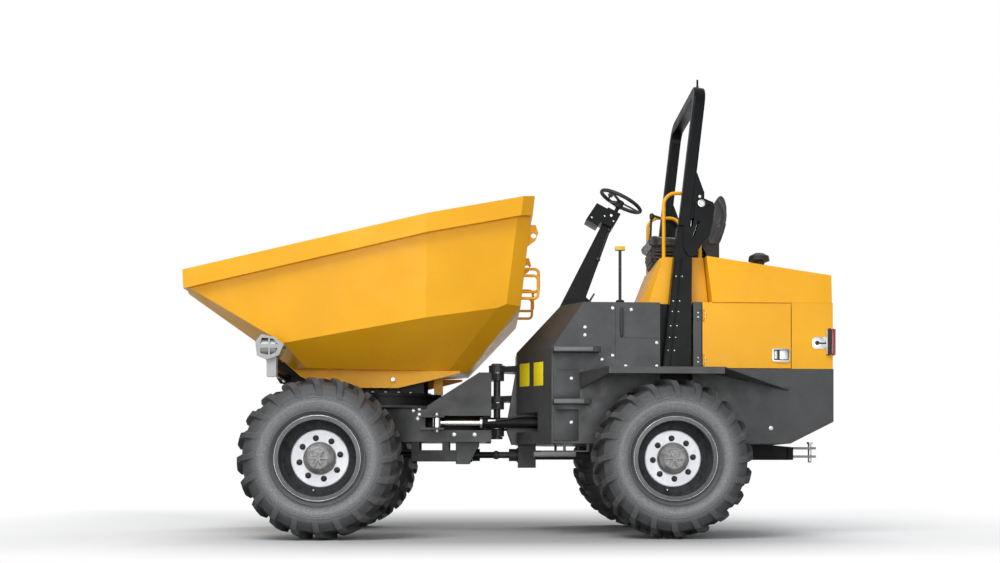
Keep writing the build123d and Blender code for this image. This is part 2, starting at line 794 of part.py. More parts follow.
# Columns: low and high height of each arm between the rear chassis and the pin
arm_table = [(1290, 1338), (1052, 1100), (840, 876)]
with BuildPart() as rear_chassis:
    for side in (-1, 1):
        span = sorted((side * rail_inner, side * (rail_inner + rail_wall)))
        flat_xz(nose_points, *span)
    brick(-26, 0, -rail_inner, rail_inner, 709, 1290)
    round_z(pin_x, 0, post_radius, pin_low_z, pin_top_z)
    round_z(pin_x, 0, pin_collar_radius, pin_arm_top_z, pin_arm_top_z + pin_collar_height)
    with BuildSketch(Plane.XY.offset(pin_arm_top_z + pin_collar_height)):
        with Locations((pin_x, 0)):
            RegularPolygon(pin_cap_radius, 6)
    extrude(amount=pin_cap_height)
    round_z(pin_x, 0, pin_cap_radius, pin_low_z, bearing_table[-1][0] - pin_play)
    for low, high in arm_table:
        round_z(pin_x, 0, 66, low, high)
        flat_xy([(pin_x, -40), (-20, -rail_inner), (-20, rail_inner), (pin_x, 40)], low, high)
    for x_low in (430, 1400, 1980):
        brick(x_low, x_low + 60, -rail_inner, rail_inner, rear_floor_z + 60, 890)
    # Forked anchors of the steering rams, on the outer faces of the rails
    anchor_gap = steer_barrel + anchor_clear
    for side, word in side_table:
        y = side * steer_y
        for low in (steer_z + anchor_gap, steer_z - anchor_gap - anchor_wall):
            span = sorted((side * rail_inner, side * (steer_y + anchor_half)))
            brick(steer_rear_x - anchor_half, steer_rear_x + anchor_half, *span, low, low + anchor_wall)
        round_z(steer_rear_x, y, steer_pin_radius, steer_z - anchor_gap, steer_z + anchor_gap)
save(rear_chassis, "rear_chassis")

# Steering rams, one each side: barrel on the rear chassis, rod to the front chassis
steer_rod = 22
steer_barrel_length = 500
steer_run = steer_rear_x - steer_front_x
for side, word in side_table:
    y = side * steer_y
    with BuildPart() as steer_barrel_piece:
        round_x(y, steer_z, steer_barrel, steer_rear_x - steer_barrel_length, steer_rear_x)
        round_z(steer_rear_x, y, steer_barrel, steer_z - steer_barrel, steer_z + steer_barrel)
        round_z(steer_rear_x, y, steer_pin_radius + running_fit, steer_z - 100, steer_z + 100, mode=Mode.SUBTRACT)
        round_x(y, steer_z, steer_rod + running_fit, steer_rear_x - steer_barrel_length - overrun,
                steer_rear_x - 100, mode=Mode.SUBTRACT)
    save(steer_barrel_piece, f"steer_barrel_{word}")
    with BuildPart() as steer_rod_piece:
        round_x(y, steer_z, steer_rod, steer_front_x, steer_rear_x - 340)
        round_z(steer_front_x, y, steer_eye, steer_z - steer_gap + 4, steer_z + steer_gap - 4)
    save(steer_rod_piece, f"steer_rod_{word}")

# Operator's tub: plated shell with a faceted front, carrying the deck, steps and front panels
tub_wall = 10
tub_low_z = 705
tub_knee_z = 1433
deck_z = 1790
tub_front_x = -26
tub_front_half = 230
tub_corner_x = 230
tub_top_x = 315
tub_top_corner_x = 475
tub_rear_x = 1066
tub_core = (600, 0, 1200)
tub_reach = 4000
knee_front = (tub_front_x, tub_front_half, tub_knee_z)
knee_side = (tub_corner_x, tub_half, tub_knee_z)
tub_low_side = (tub_corner_x, tub_half, tub_low_z)
top_corner = (tub_top_corner_x, tub_half, deck_z)


def tub_span(x, z):
    """Two points at one place on the side view, to set a plane that spans the tub."""
    return (x, -tub_wall, z), (x, tub_wall, z)


tub_planes = [
    bounding_plane(*tub_span(tub_front_x, tub_low_z), (tub_front_x, 0, tub_knee_z), tub_core),
    bounding_plane(*tub_span(tub_front_x, tub_knee_z), (tub_top_x, 0, deck_z), tub_core),
    bounding_plane(*tub_span(tub_front_x, deck_z), (tub_rear_x, 0, deck_z), tub_core),
    bounding_plane(*tub_span(tub_front_x, tub_low_z), (tub_rear_x, 0, tub_low_z), tub_core),
]
tub_planes += both_sides(knee_front, knee_side, tub_low_side, tub_core)
tub_planes += both_sides(knee_front, knee_side, top_corner, tub_core)
tub_planes += both_sides(knee_side, tub_low_side, (tub_rear_x, tub_half, deck_z), tub_core)
tub_back = bounding_plane(*tub_span(tub_rear_x, tub_low_z), (tub_rear_x, 0, deck_z), tub_core)
tub_outer = cut_by_planes(tub_planes + [tub_back], tub_core, tub_reach, 0)
tub_inner = cut_by_planes(tub_planes, tub_core, tub_reach, tub_wall)
ram_window_half = 125
with BuildPart() as tub:
    add(tub_outer)
    add(tub_inner, mode=Mode.SUBTRACT)
    brick(tub_front_x - overrun, 40, -rail_inner - rail_wall - 2, rail_inner + rail_wall + 2, tub_low_z - overrun,
          1342, mode=Mode.SUBTRACT)
    for side in (-1, 1):
        window = sorted((side * (rail_inner + rail_wall + 2), side * (steer_y + ram_window_half)))
        brick(tub_front_x - overrun, 200, *window, 800, 950, mode=Mode.SUBTRACT)
    brick(850, tub_rear_x + overrun, -330, 330, tub_low_z - overrun, tub_low_z + overrun, mode=Mode.SUBTRACT)
save(tub, "operator_tub")

# Rear body: engine bay floor and sides in one bent tray, chamfered at the tail
bay_half = 640
bay_wall = 12
bay_top_z = 1282
bay_front_x = 1310
bay_rear_x = 2408
bay_points = [
    (bay_front_x, tub_low_z),
    (2070, tub_low_z),
    (bay_rear_x, 874),
    (bay_rear_x, bay_top_z),
    (bay_front_x, bay_top_z),
]
with BuildPart() as bay:
    flat_xz(bay_points, -bay_half, bay_half)
    inner = [
        (bay_front_x - overrun, rear_floor_z),
        (2068, rear_floor_z),
        (bay_rear_x - bay_wall, 881),
        (bay_rear_x - bay_wall, bay_top_z + overrun),
        (bay_front_x - overrun, bay_top_z + overrun),
    ]
    flat_xz(inner, bay_wall - bay_half, bay_half - bay_wall, mode=Mode.SUBTRACT)
save(bay, "rear_body")

# Fenders over the rear wheels, each one folded plate with a skirt
fender_z = 1250
fender_wall = 8
fender_half = 1150
fender_front_x = 443
fender_knee_x = 613
fender_bend_x = 1457
fender_tail = (2060, 1122)
skirt = 50
front_skirt = 128

fender_plan = [
    (fender_front_x, -tub_half),
    (fender_knee_x, -fender_half),
    (fender_bend_x, -fender_half),
    (fender_bend_x, -bay_half),
    (bay_front_x, -bay_half),
    (bay_front_x, -tub_half),
]
front_run = math.dist((fender_front_x, tub_half), (fender_knee_x, fender_half))
front_heading = Vector(fender_front_x - fender_knee_x, fender_half - tub_half, 0).normalized()
front_face = Plane(origin=(fender_knee_x, -fender_half, fender_z), x_dir=front_heading,
                   z_dir=front_heading.cross(Vector(0, 0, 1)))
flap_corner = Vector(fender_bend_x, -fender_half, fender_z)
flap_root = Vector(fender_bend_x, -bay_half, fender_z)
flap_tip = Vector(fender_tail[0], -bay_half, fender_tail[1])
flap_plane = Plane(origin=flap_root, x_dir=flap_corner - flap_root,
                   z_dir=(flap_tip - flap_root).cross(flap_corner - flap_root))
with BuildPart() as fender_pattern:
    flat_xy(fender_plan, fender_z - fender_wall, fender_z)
    flat_xz([(fender_knee_x, fender_z), (fender_bend_x, fender_z), (fender_bend_x, fender_z - skirt),
             (fender_knee_x, fender_z - skirt)], -fender_half, fender_wall - fender_half)
    with BuildSketch(front_face):
        with BuildLine():
            Polyline((0, 0), (front_run, 0), (front_run, -front_skirt), (0, -skirt), close=True)
        make_face()
    extrude(amount=fender_wall)
    with BuildSketch(flap_plane):
        with BuildLine():
            tip = flap_plane.to_local_coords(flap_tip)
            Polyline((0, 0), ((flap_corner - flap_root).length, 0), (tip.X, tip.Y), close=True)
        make_face()
    extrude(amount=fender_wall * (-1 if flap_plane.z_dir.Z > 0 else 1))
    brick(0, rear_axle_x + tyre_radius, -tub_half, 0, 0, fender_z + overrun, mode=Mode.SUBTRACT)
with BuildPart() as fenders:
    add(fender_pattern.part)
    mirror(about=Plane.XZ)
save(fenders, "fenders")

# Steps on both sides of the tub: two treads and a hanging lower step
step_out = 150
step_wall = 36
# Columns: front end, rear end, underside height
tread_table = [(235, 590, 1396), (150, 520, 1002)]
hang_step = (90, 410, 604)
with BuildPart() as steps:
    for side in (-1, 1):
        for x_low, x_high, low in tread_table:
            x_start = max(x_low, tub_corner_x + 8)
            tread = [
                (x_start, side * tub_half),
                (x_start, side * (tub_half + step_out)),
                (x_high, side * (tub_half + step_out)),
                (x_high, side * tub_half),
            ]
            flat_xy(tread, low, low + step_wall)
        y_low, y_high = sorted((side * (tub_half - 70), side * (tub_half + step_out - 60)))
        brick(hang_step[0], hang_step[1], y_low, y_high, hang_step[2], hang_step[2] + step_wall)
        for x in (hang_step[0] + 60, hang_step[1] - 80):
            brick(x + 170, x + 190, side * (tub_half - 20) - 15, side * (tub_half - 20) + 15,
                  hang_step[2] + step_wall, tub_low_z)
            brick(x, x + 190, side * (tub_half - 20) - 15, side * (tub_half - 20) + 15,
                  hang_step[2] + step_wall, hang_step[2] + step_wall + 12)
save(steps, "steps")

# Rear surround: side corner panels and the tail face with its air grille
panel_low_z = bay_top_z + 3
panel_top_z = 1790
door_front_x = 1386
door_rear_x = 2074
surround_wall = 12
surround_x = 2402
slot_count = 9
door_top_z = panel_top_z - 8
hinge_x = door_front_x + 4
hinge_out = 4
hinge_radius = 9
hinge_pin = 4
knuckle_height = 44
hinge_gap = 0.5
# Low height of each door hinge
hinge_table = [panel_low_z + 40, panel_top_z - 120]
with BuildPart() as surround:
    outline = [
        (door_rear_x + panel_gap, -bay_half),
        (surround_x, -bay_half),
        (surround_x, bay_half),
        (door_rear_x + panel_gap, bay_half),
    ]
    flat_xy(outline, bay_top_z, panel_top_z)
    brick(door_rear_x - overrun, surround_x - surround_wall, surround_wall - bay_half, bay_half - surround_wall,
          bay_top_z - overrun, panel_top_z + overrun, mode=Mode.SUBTRACT)
    with BuildSketch(Plane.YZ.offset(surround_x - surround_wall - overrun)):
        with Locations((0, (panel_low_z + panel_top_z) / 2)):
            with GridLocations(0, 44, 1, slot_count):
                SlotOverall(880, 22)
    extrude(amount=surround_wall + overrun * 2, mode=Mode.SUBTRACT)
    brick(door_front_x - 70, door_front_x - panel_gap, -bay_half, bay_half, bay_top_z, panel_top_z)
    brick(door_front_x - 70 - overrun, door_front_x, surround_wall - bay_half, bay_half - surround_wall,
          bay_top_z - overrun, panel_top_z + overrun, mode=Mode.SUBTRACT)
    brick(door_front_x - 70, door_rear_x + 60, -bay_half + surround_wall, -bay_half + 60, panel_top_z - 40,
          panel_top_z)
    brick(door_front_x - 70, door_rear_x + 60, bay_half - 60, bay_half - surround_wall, panel_top_z - 40, panel_top_z)
    # Hinge pins with the fixed knuckles above and below each knuckle of the doors
    for side, word in side_table:
        hinge_y = side * (bay_half + hinge_out)
        for low in hinge_table:
            for fixed in (low - knuckle_height / 2 - hinge_gap, low + knuckle_height + hinge_gap):
                round_z(hinge_x, hinge_y, hinge_radius, fixed, fixed + knuckle_height / 2)
                span = sorted((side * (bay_half - surround_wall), side * (bay_half + hinge_out)))
                brick(door_front_x - overrun, hinge_x - hinge_radius / 2, *span, fixed, fixed + knuckle_height / 2)
            round_z(hinge_x, hinge_y, hinge_pin, low - knuckle_height / 2, low + knuckle_height * 1.5)
save(surround, "rear_surround")

# Side doors of the engine bay, hinged at their front edge
door_wall = 11
for side, word in side_table:
    outer = side * bay_half
    inner_y = side * (bay_half - door_wall)
    with BuildPart() as door:
        span = sorted((outer, inner_y))
        brick(door_front_x, door_rear_x, *span, panel_low_z, door_top_z)
        hinge_y = side * (bay_half + hinge_out)
        for low in hinge_table:
            reach = sorted((side * (bay_half + hinge_out), inner_y))
            brick(door_front_x - overrun, hinge_x + hinge_radius + hinge_gap, *reach,
                  low - knuckle_height / 2 - hinge_gap * 2, low + knuckle_height * 1.5 + hinge_gap * 2, mode=Mode.SUBTRACT)
            brick(hinge_x, hinge_x + hinge_radius * 3, *reach, low, low + knuckle_height)
            round_z(hinge_x, hinge_y, hinge_radius, low, low + knuckle_height)
            round_z(hinge_x, hinge_y, hinge_pin + running_fit, low - overrun, low + knuckle_height + overrun,
                    mode=Mode.SUBTRACT)
        latch = sorted((outer, side * (bay_half + 6)))
        brick(door_rear_x - 110, door_rear_x - 20, *latch, panel_low_z + 40, panel_low_z + 135)
    save(door, f"side_door_{word}")

# Bonnet over the engine, hinged at its rear lower edge
bonnet_low_z = panel_top_z + seat_gap
bonnet_seam = (1424, 2151)
bonnet_low_x = 1463
bonnet_rear = (2396, 2008)
bonnet_top_half = 606
bonnet_wall = 10
bonnet_core = (1900, 0, 1900)
bonnet_planes = [
    bounding_plane((bonnet_low_x, -1, bonnet_low_z), (bonnet_low_x, 1, bonnet_low_z), (bonnet_seam[0], 0, bonnet_seam[1]), bonnet_core),
    bounding_plane((bonnet_seam[0], -1, bonnet_seam[1]), (bonnet_seam[0], 1, bonnet_seam[1]), (bonnet_rear[0], 0, bonnet_rear[1]), bonnet_core),
    bounding_plane((bonnet_rear[0], -1, bonnet_low_z), (bonnet_rear[0], 1, bonnet_low_z), (bonnet_rear[0], 0, bonnet_rear[1]), bonnet_core),
]
bonnet_planes += both_sides((bonnet_low_x, bay_half, bonnet_low_z), (bonnet_rear[0], bay_half, bonnet_low_z),
                            (bonnet_seam[0], bonnet_top_half, bonnet_seam[1]), bonnet_core)
bonnet_floor = bounding_plane((bonnet_low_x, -1, bonnet_low_z), (bonnet_low_x, 1, bonnet_low_z),
                              (bonnet_rear[0], 0, bonnet_low_z), bonnet_core)
bonnet_outer = cut_by_planes(bonnet_planes + [bonnet_floor], bonnet_core, tub_reach, 0)
with BuildPart() as bonnet:
    add(bonnet_outer)
    add(cut_by_planes(bonnet_planes, bonnet_core, tub_reach, bonnet_wall), mode=Mode.SUBTRACT)
save(bonnet, "bonnet")

# Air pre-cleaner on the bonnet
cleaner = (1950, -100)
cleaner_z = bonnet_seam[1] + (bonnet_rear[1] - bonnet_seam[1]) * (cleaner[0] - bonnet_seam[0]) / (bonnet_rear[0] - bonnet_seam[0])
with BuildPart() as air_cleaner:
    with BuildSketch(Plane.XZ.offset(-cleaner[1])):
        with BuildLine():
            Polyline((cleaner[0], cleaner_z - 8), (cleaner[0] + 45, cleaner_z - 8), (cleaner[0] + 45, 2190),
                     (cleaner[0] + 86, 2205), (cleaner[0] + 80, 2240), (cleaner[0] + 30, 2268), (cleaner[0], 2268), close=True)
        make_face()
    revolve(axis=Axis((cleaner[0], cleaner[1], 0), (0, 0, 1)))
    add(bonnet_outer.moved(Location((0, 0, seat_gap))), mode=Mode.SUBTRACT)
save(air_cleaner, "air_cleaner")

# Seat box in front of the bonnet, with raked front and wings
box_low_x = 930
box_top_x = 1085
wing_low_x = 986
wing_top_x = 1103
box_top_z = 2156
box_half = 500
box_front_half = 330
box_core = (1250, 0, 1950)
box_planes = [
    bounding_plane((box_low_x, -1, deck_z), (box_low_x, 1, deck_z), (box_top_x, 0, box_top_z), box_core),
    bounding_plane((box_low_x, -1, box_top_z), (box_low_x, 1, box_top_z), (bonnet_seam[0], 0, box_top_z), box_core),
    bounding_plane((bonnet_low_x - panel_gap, -1, bonnet_low_z), (bonnet_low_x - panel_gap, 1, bonnet_low_z),
                   (bonnet_seam[0] - panel_gap, 0, bonnet_seam[1]), box_core),
]
box_planes += both_sides((box_low_x, box_front_half, deck_z), (wing_low_x, box_half, deck_z),
                         (wing_top_x, box_half, box_top_z), box_core)
box_planes += both_sides((wing_low_x, box_half, deck_z), (wing_top_x, box_half, deck_z), (wing_low_x, box_half, box_top_z), box_core)
box_floor = bounding_plane((box_low_x, -1, deck_z), (box_low_x, 1, deck_z), (bonnet_low_x, 0, deck_z), box_core)
with BuildPart() as seat_box:
    add(cut_by_planes(box_planes + [box_floor], box_core, tub_reach, 0))
    add(cut_by_planes(box_planes, box_core, tub_reach, bonnet_wall), mode=Mode.SUBTRACT)
save(seat_box, "seat_box")

# Engine: a plain block on the rails
with BuildPart() as engine:
    brick(1480, 2230, -260, 260, 900, 1640)
save(engine, "engine_block")

# Bulkhead between tub and engine bay, which also carries the roll bar posts
bulk_wall = 12
hoop_y = 565
hoop_width = 92
post_inner = hoop_y - hoop_width / 2
rail_top_z = 900
with BuildPart() as bulkhead:
    brick(tub_rear_x, tub_rear_x + bulk_wall, -post_inner, post_inner, rail_top_z, deck_z)
    for side in (-1, 1):
        wall = sorted((side * (post_inner - bulk_wall), side * post_inner))
        brick(tub_rear_x + bulk_wall, bay_front_x, *wall, rail_top_z, deck_z)
    brick(tub_rear_x + bulk_wall, bay_front_x, -post_inner, post_inner, deck_z - bulk_wall, deck_z)
save(bulkhead, "bulkhead")

# Seat: sprung base, cushion and back, each with its side-view outline
seat_base_z = 2290
seat_base_half = 200
cushion_half = 245
back_half = 235
seat_base_points = [(1085, box_top_z), (1470, box_top_z), (1500, 2240), (1470, seat_base_z), (1070, seat_base_z), (1055, 2240)]
cushion_points = [(1002, 2322), (1030, 2385), (1260, 2372), (1480, 2384), (1494, 2330), (1470, seat_base_z + seat_gap),
                  (1035, seat_base_z + seat_gap)]
back_points = [(1504, 2392), (1545, 2600), (1590, 2718), (1618, 2744), (1650, 2732), (1668, 2650), (1668, 2520),
               (1632, 2400), (1596, 2292), (1496, 2292), (1494.3, 2330)]
with BuildPart() as seat_base:
    flat_xz(seat_base_points, -seat_base_half, seat_base_half)
save(seat_base, "seat_base")
with BuildPart() as cushion:
    flat_xz(cushion_points, -cushion_half, cushion_half)
save(cushion, "seat_cushion")
with BuildPart() as seat_back:
    flat_xz(back_points, -back_half, back_half)
save(seat_back, "seat_back")

# Steering column with console, and the steering wheel on its own shaft
column_half = 62
console_half = 100
column_points = [(308, deck_z), (665, deck_z), (540, 1905), (757, 2497), (685, 2530)]
console_points = [
    (537, 2528),
    (625, 2661),
    (709, 2618),
    (719, 2628),
    (819, 2575),
    (753, 2461),
    (650, 2508),
    (630, 2476),
]
wheel_centre = (832, 2699)
wheel_tilt = math.radians(27)
wheel_radius = 176
grip_radius = 15
wheel_axis = Vector(math.sin(wheel_tilt), 0, math.cos(wheel_tilt))
wheel_middle = Vector(wheel_centre[0], 0, wheel_centre[1])
shaft_radius = 16
shaft_foot = wheel_middle - wheel_axis * 130
with BuildPart() as column:
    flat_xz(column_points, -column_half, column_half)
    flat_xz(console_points, -console_half, console_half)
    with BuildSketch(Plane(origin=shaft_foot, z_dir=wheel_axis)):
        Circle(shaft_radius)
    extrude(amount=94)
save(column, "steering_column")

spoke_width = 34
spoke_depth = 7
stalk_radius = 8
spoke_count = 3
spoke_lead = 30
knob_angle = math.radians(35)
knob_x = wheel_radius * math.cos(knob_angle)
knob_y = wheel_radius * math.sin(knob_angle)
hub_depth = 52
hub_top = -6
knob_radius = 21
wheel_plane = Plane(origin=wheel_middle, x_dir=(0, 1, 0), z_dir=wheel_axis)
with BuildPart() as wheel_flat:
    with BuildSketch(Plane.YZ):
        with Locations((wheel_radius, 0)):
            Circle(grip_radius)
    revolve(axis=Axis.Z)
    round_z(0, 0, shaft_radius * 2, hub_top - hub_depth, hub_top)
    with BuildSketch(Plane.XY.offset(hub_top - spoke_depth)):
        with PolarLocations((wheel_radius - grip_radius / 2) / 2, spoke_count, start_angle=spoke_lead):
            Rectangle(wheel_radius - grip_radius / 2, spoke_width)
    extrude(amount=spoke_depth)
    round_z(0, 0, shaft_radius + running_fit, hub_top - hub_depth - overrun, hub_top - hub_depth / 2, mode=Mode.SUBTRACT)
    round_z(knob_x, knob_y, stalk_radius, grip_radius / 2, knob_radius * 2)
    round_z(knob_x, knob_y, knob_radius, knob_radius * 1.5, knob_radius * 3)
with BuildPart() as steering_wheel:
    add(wheel_flat.part.moved(wheel_plane.location))
save(steering_wheel, "steering_wheel")

# Gear lever with gaiter, and the pedals
lever_x = 784
lever_y = -350
lever_top_z = 2232
lever_cap = 30
lever_cap_half = 38
# Columns: radius, low height, high height over the deck, of the gaiter's tiers and the stick
lever_tiers = [(52, 0, 16), (40, 16, 32), (29, 32, 50), (12, 50, lever_top_z - deck_z)]
with BuildPart() as controls:
    for radius, low, high in lever_tiers:
        round_z(lever_x, lever_y, radius, deck_z + low, deck_z + high)
    brick(lever_x - lever_cap_half, lever_x + lever_cap_half, lever_y - lever_cap / 2, lever_y + lever_cap / 2,
          lever_top_z, lever_top_z + lever_cap)
    for y in (-170, 170):
        brick(560, 580, y - 12, y + 12, deck_z, deck_z + 60)
        flat_xz([(560, deck_z + 50), (600, deck_z + 120), (590, deck_z + 128), (545, deck_z + 60)], y - 35, y + 35)
save(controls, "floor_controls")

# Grab rails beside the seat
rail_y = 455
rail_radius = 14
hand_rail_z = 2664
with BuildPart() as grab_rails:
    for side in (-1, 1):
        y = side * rail_y
        bent_tube([(1115, y, box_top_z), (1115, y, hand_rail_z), (1400, y, hand_rail_z), (1400, y, box_top_z)], 95, rail_radius)
save(grab_rails, "grab_rails")

# Roll bar: fixed posts with pivot plates, and the hoop that folds back on them
pivot_x = 1380
pivot_z = 2549
pivot_radius = 14
plate_wall = 14
post_top_z = 2374
post_points = [(1080, fender_z), (1303, fender_z), (1313, post_top_z), (1200, post_top_z)]
plate_points = [
    (1240, post_top_z),
    (1240, 2215),
    (1262, 2170),
    (1288, 2142),
    (1327, 2148),
    (1384, 2235),
    (1442, 2303),
    (1466, 2398),
    (1484, 2520),
    (1473, 2560),
    (1400, 2590),
    (1332, 2570),
    (1320, post_top_z),
]
slot_points = [(1357, 2416), (1369, 2412), (1327, 2296), (1315, 2300)]
spare_hole = (1437, 2533)
spare_hole_radius = 8
with BuildPart() as posts:
    for side in (-1, 1):
        span = sorted((side * (hoop_y - hoop_width / 2), side * (hoop_y + hoop_width / 2)))
        flat_xz(post_points, *span)
        for y in (hoop_y - hoop_width / 2 - plate_wall, hoop_y + hoop_width / 2):
            plate = sorted((side * y, side * (y + plate_wall)))
            flat_xz(plate_points, *plate)
            flat_xz(slot_points, *plate, mode=Mode.SUBTRACT)
            round_y(*spare_hole, spare_hole_radius, *plate, mode=Mode.SUBTRACT)
    for side in (-1, 1):
        reach = sorted((side * (hoop_y - hoop_width / 2 - plate_wall - 10), side * (hoop_y + hoop_width / 2 + plate_wall + 10)))
        round_y(pivot_x, pivot_z, pivot_radius, *reach)
save(posts, "rops_posts")

hoop_low = (1256, post_top_z + panel_gap)
hoop_top = (1382, 3445)
hoop_bend = 120
hoop_rise = math.dist(hoop_low, hoop_top)
hoop_plane = Plane(origin=(hoop_low[0], 0, hoop_low[1]), x_dir=(0, 1, 0),
                   z_dir=(-(hoop_top[1] - hoop_low[1]), 0, hoop_top[0] - hoop_low[0]))
gusset_points = [(1290, 2420), (1404, 2500), (1408, 2636), (1352, 2788), (1325, 2800)]
cheek_out = 3
aerial_radius = 8
aerial_height = 112
with BuildPart() as hoop:
    with BuildLine(hoop_plane) as hoop_route:
        FilletPolyline((-hoop_y, 0), (-hoop_y, -hoop_rise), (hoop_y, -hoop_rise), (hoop_y, 0), radius=hoop_bend)
    with BuildSketch(Plane(origin=hoop_route.line @ 0, z_dir=hoop_route.line % 0)):
        RectangleRounded(hoop_width - 2, hoop_width - 2, 14)
    sweep(path=hoop_route.line)
    for side in (-1, 1):
        for y in (hoop_y - hoop_width / 2 + cheek_out, hoop_y + hoop_width / 2 - cheek_out - plate_wall):
            span = sorted((side * y, side * (y + plate_wall)))
            flat_xz(gusset_points, *span)
    round_y(pivot_x, pivot_z, pivot_radius + running_fit, -1000, 1000, mode=Mode.SUBTRACT)
    round_z(hoop_top[0], -hoop_y + hoop_bend, aerial_radius, hoop_top[1], hoop_top[1] + aerial_height)
    round_z(hoop_top[0], -hoop_y + hoop_bend, aerial_radius * 2, hoop_top[1], hoop_top[1] + aerial_height / 2)
save(hoop, "rops_hoop")

# Tail lamps on brackets
with BuildPart() as tail_lamps:
    for side in (-1, 1):
        y_low, y_high = sorted((side * 560, side * (bay_half - 20)))
        brick(surround_x, surround_x + 28, y_low, y_high, 1390, 1593)
save(tail_lamps, "tail_lamps")

# Tow hitch: beam under the tail, jaw and pin
beam_half = 60
beam_low_z = 585
beam_nose_z = 640
beam_front_x = 1560
beam_knee = 40
beam_rise_x = 2080
jaw_length = 194
jaw_x = tail_x - jaw_length
jaw_gap_low = 622
jaw_gap_high = 672
jaw_plate = 18
jaw_block = 42
jaw_block_half = 78
hitch_pin_in = 36
hitch_pin_radius = 15
hitch_pin_up = 60
hitch_pin_down = 37
hitch_head_radius = 24
hitch_head_height = 14
beam_points = [
    (beam_front_x, tub_low_z),
    (beam_front_x, beam_nose_z),
    (beam_front_x + beam_knee, beam_low_z),
    (jaw_x, beam_low_z),
    (jaw_x, jaw_gap_high + jaw_plate),
    (beam_rise_x, tub_low_z),
]
with BuildPart() as hitch:
    flat_xz(beam_points, -beam_half, beam_half)
    brick(jaw_x - jaw_block, jaw_x, -jaw_block_half, jaw_block_half, beam_low_z, jaw_gap_high + jaw_plate)
    for low in (jaw_gap_high, jaw_gap_low - jaw_plate):
        brick(jaw_x, tail_x, -beam_half, beam_half, low, low + jaw_plate)
    round_z(tail_x - hitch_pin_in, 0, hitch_pin_radius, jaw_gap_low - jaw_plate - hitch_pin_down,
            jaw_gap_high + hitch_pin_up)
    round_z(tail_x - hitch_pin_in, 0, hitch_head_radius, jaw_gap_high + hitch_pin_up - hitch_head_height,
            jaw_gap_high + hitch_pin_up)
save(hitch, "tow_hitch")

# Transmission drop box and the propeller shafts
shaft_z = 624
shaft_radius_low = 26
rear_shaft_radius = 38
yoke_radius = 50
yoke_length = 62
flange_disc_radius = 58
flange_disc = 12
box_front_x = -10
box_rear_x = 130
box_low_z = 520
box_side_half = 110
joint_gap = 14
with BuildPart() as drop_box:
    brick(box_front_x, box_rear_x, -box_side_half, box_side_half, box_low_z, tub_low_z)
    round_x(0, shaft_z, rear_shaft_radius, box_rear_x, rear_axle_x - nose_reach)
    round_x(0, shaft_z, shaft_radius_low, pin_x + joint_gap, box_front_x)
    round_x(0, shaft_z, flange_disc_radius, box_front_x - flange_disc, box_front_x)
    round_x(0, shaft_z, yoke_radius, box_front_x - flange_disc - yoke_length, box_front_x - flange_disc)
save(drop_box, "drop_box")
with BuildPart() as front_shaft:
    round_x(0, shaft_z, shaft_radius_low, front_axle_x + nose_reach, pin_x - joint_gap * 2)
    round_x(0, shaft_z, flange_disc_radius, guard_points_low[3][0] + flange_disc, guard_points_low[3][0] + flange_disc * 2)
    round_x(0, shaft_z, yoke_radius, guard_points_low[3][0] + flange_disc * 2,
            guard_points_low[3][0] + flange_disc * 2 + yoke_length)
save(front_shaft, "front_propshaft")
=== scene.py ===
import bmesh
import bpy
import math
from mathutils import Matrix, Vector


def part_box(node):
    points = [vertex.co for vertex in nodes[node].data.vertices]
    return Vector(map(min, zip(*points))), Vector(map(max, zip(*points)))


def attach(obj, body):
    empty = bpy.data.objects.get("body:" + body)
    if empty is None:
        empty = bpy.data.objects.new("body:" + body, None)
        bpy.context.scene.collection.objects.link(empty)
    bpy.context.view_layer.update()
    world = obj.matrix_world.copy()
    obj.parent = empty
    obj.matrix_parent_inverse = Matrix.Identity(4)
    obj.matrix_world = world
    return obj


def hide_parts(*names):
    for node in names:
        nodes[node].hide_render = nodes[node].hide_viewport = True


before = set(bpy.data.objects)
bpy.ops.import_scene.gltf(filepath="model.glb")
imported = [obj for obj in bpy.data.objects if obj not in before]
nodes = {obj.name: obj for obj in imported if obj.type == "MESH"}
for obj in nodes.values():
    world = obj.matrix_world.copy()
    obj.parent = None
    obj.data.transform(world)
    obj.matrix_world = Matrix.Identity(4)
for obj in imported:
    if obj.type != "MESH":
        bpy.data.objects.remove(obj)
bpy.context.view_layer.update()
scene = bpy.context.scene

# Places shared with the solids, in metres
SIDES = ((-1, "near"), (1, "far"))
TYRE_RADIUS = 0.585
WHEEL_Y = 0.940
AXLE_X = {"front": -1.463, "rear": 1.095}
TUB_HALF = 0.600
BAY_HALF = 0.640
DECK_Z = 1.790
POST_HALF = 0.610
POST_FRONT_X, POST_FOOT_Z, POST_LEAN = 1.080, 1.250, 0.1068
FRONT_FRAME_HALF = 0.300
ARTICULATION_X = -0.181
STEER_RAM_Y, STEER_RAM_Z = 0.330, 0.872
STEER_PIN_X = -0.655
SHAFT_Z = 0.624
HITCH_PIN_X = 2.398
SLEW_X = -1.093
TIP_RAM_Y = 0.200


def put(name, data):
    """A new object in the scene that shows the given data."""
    item = bpy.data.objects.new(name, data)
    scene.collection.objects.link(item)
    return item


# Camera at the photograph's angle
camera_data = bpy.data.cameras.new("camera")
camera_data.lens = 42.6
camera_data.sensor_width = 36
camera_data.shift_x = -0.0564
camera_data.shift_y = 0.1889
camera_data.clip_end = 200
camera = put("camera", camera_data)
yaw = math.radians(3.44)
camera.location = (-0.276, -9.630, 0.499)
camera.rotation_euler = (math.radians(90), 0, -yaw)
scene.camera = camera
scene.view_settings.view_transform = "Standard"


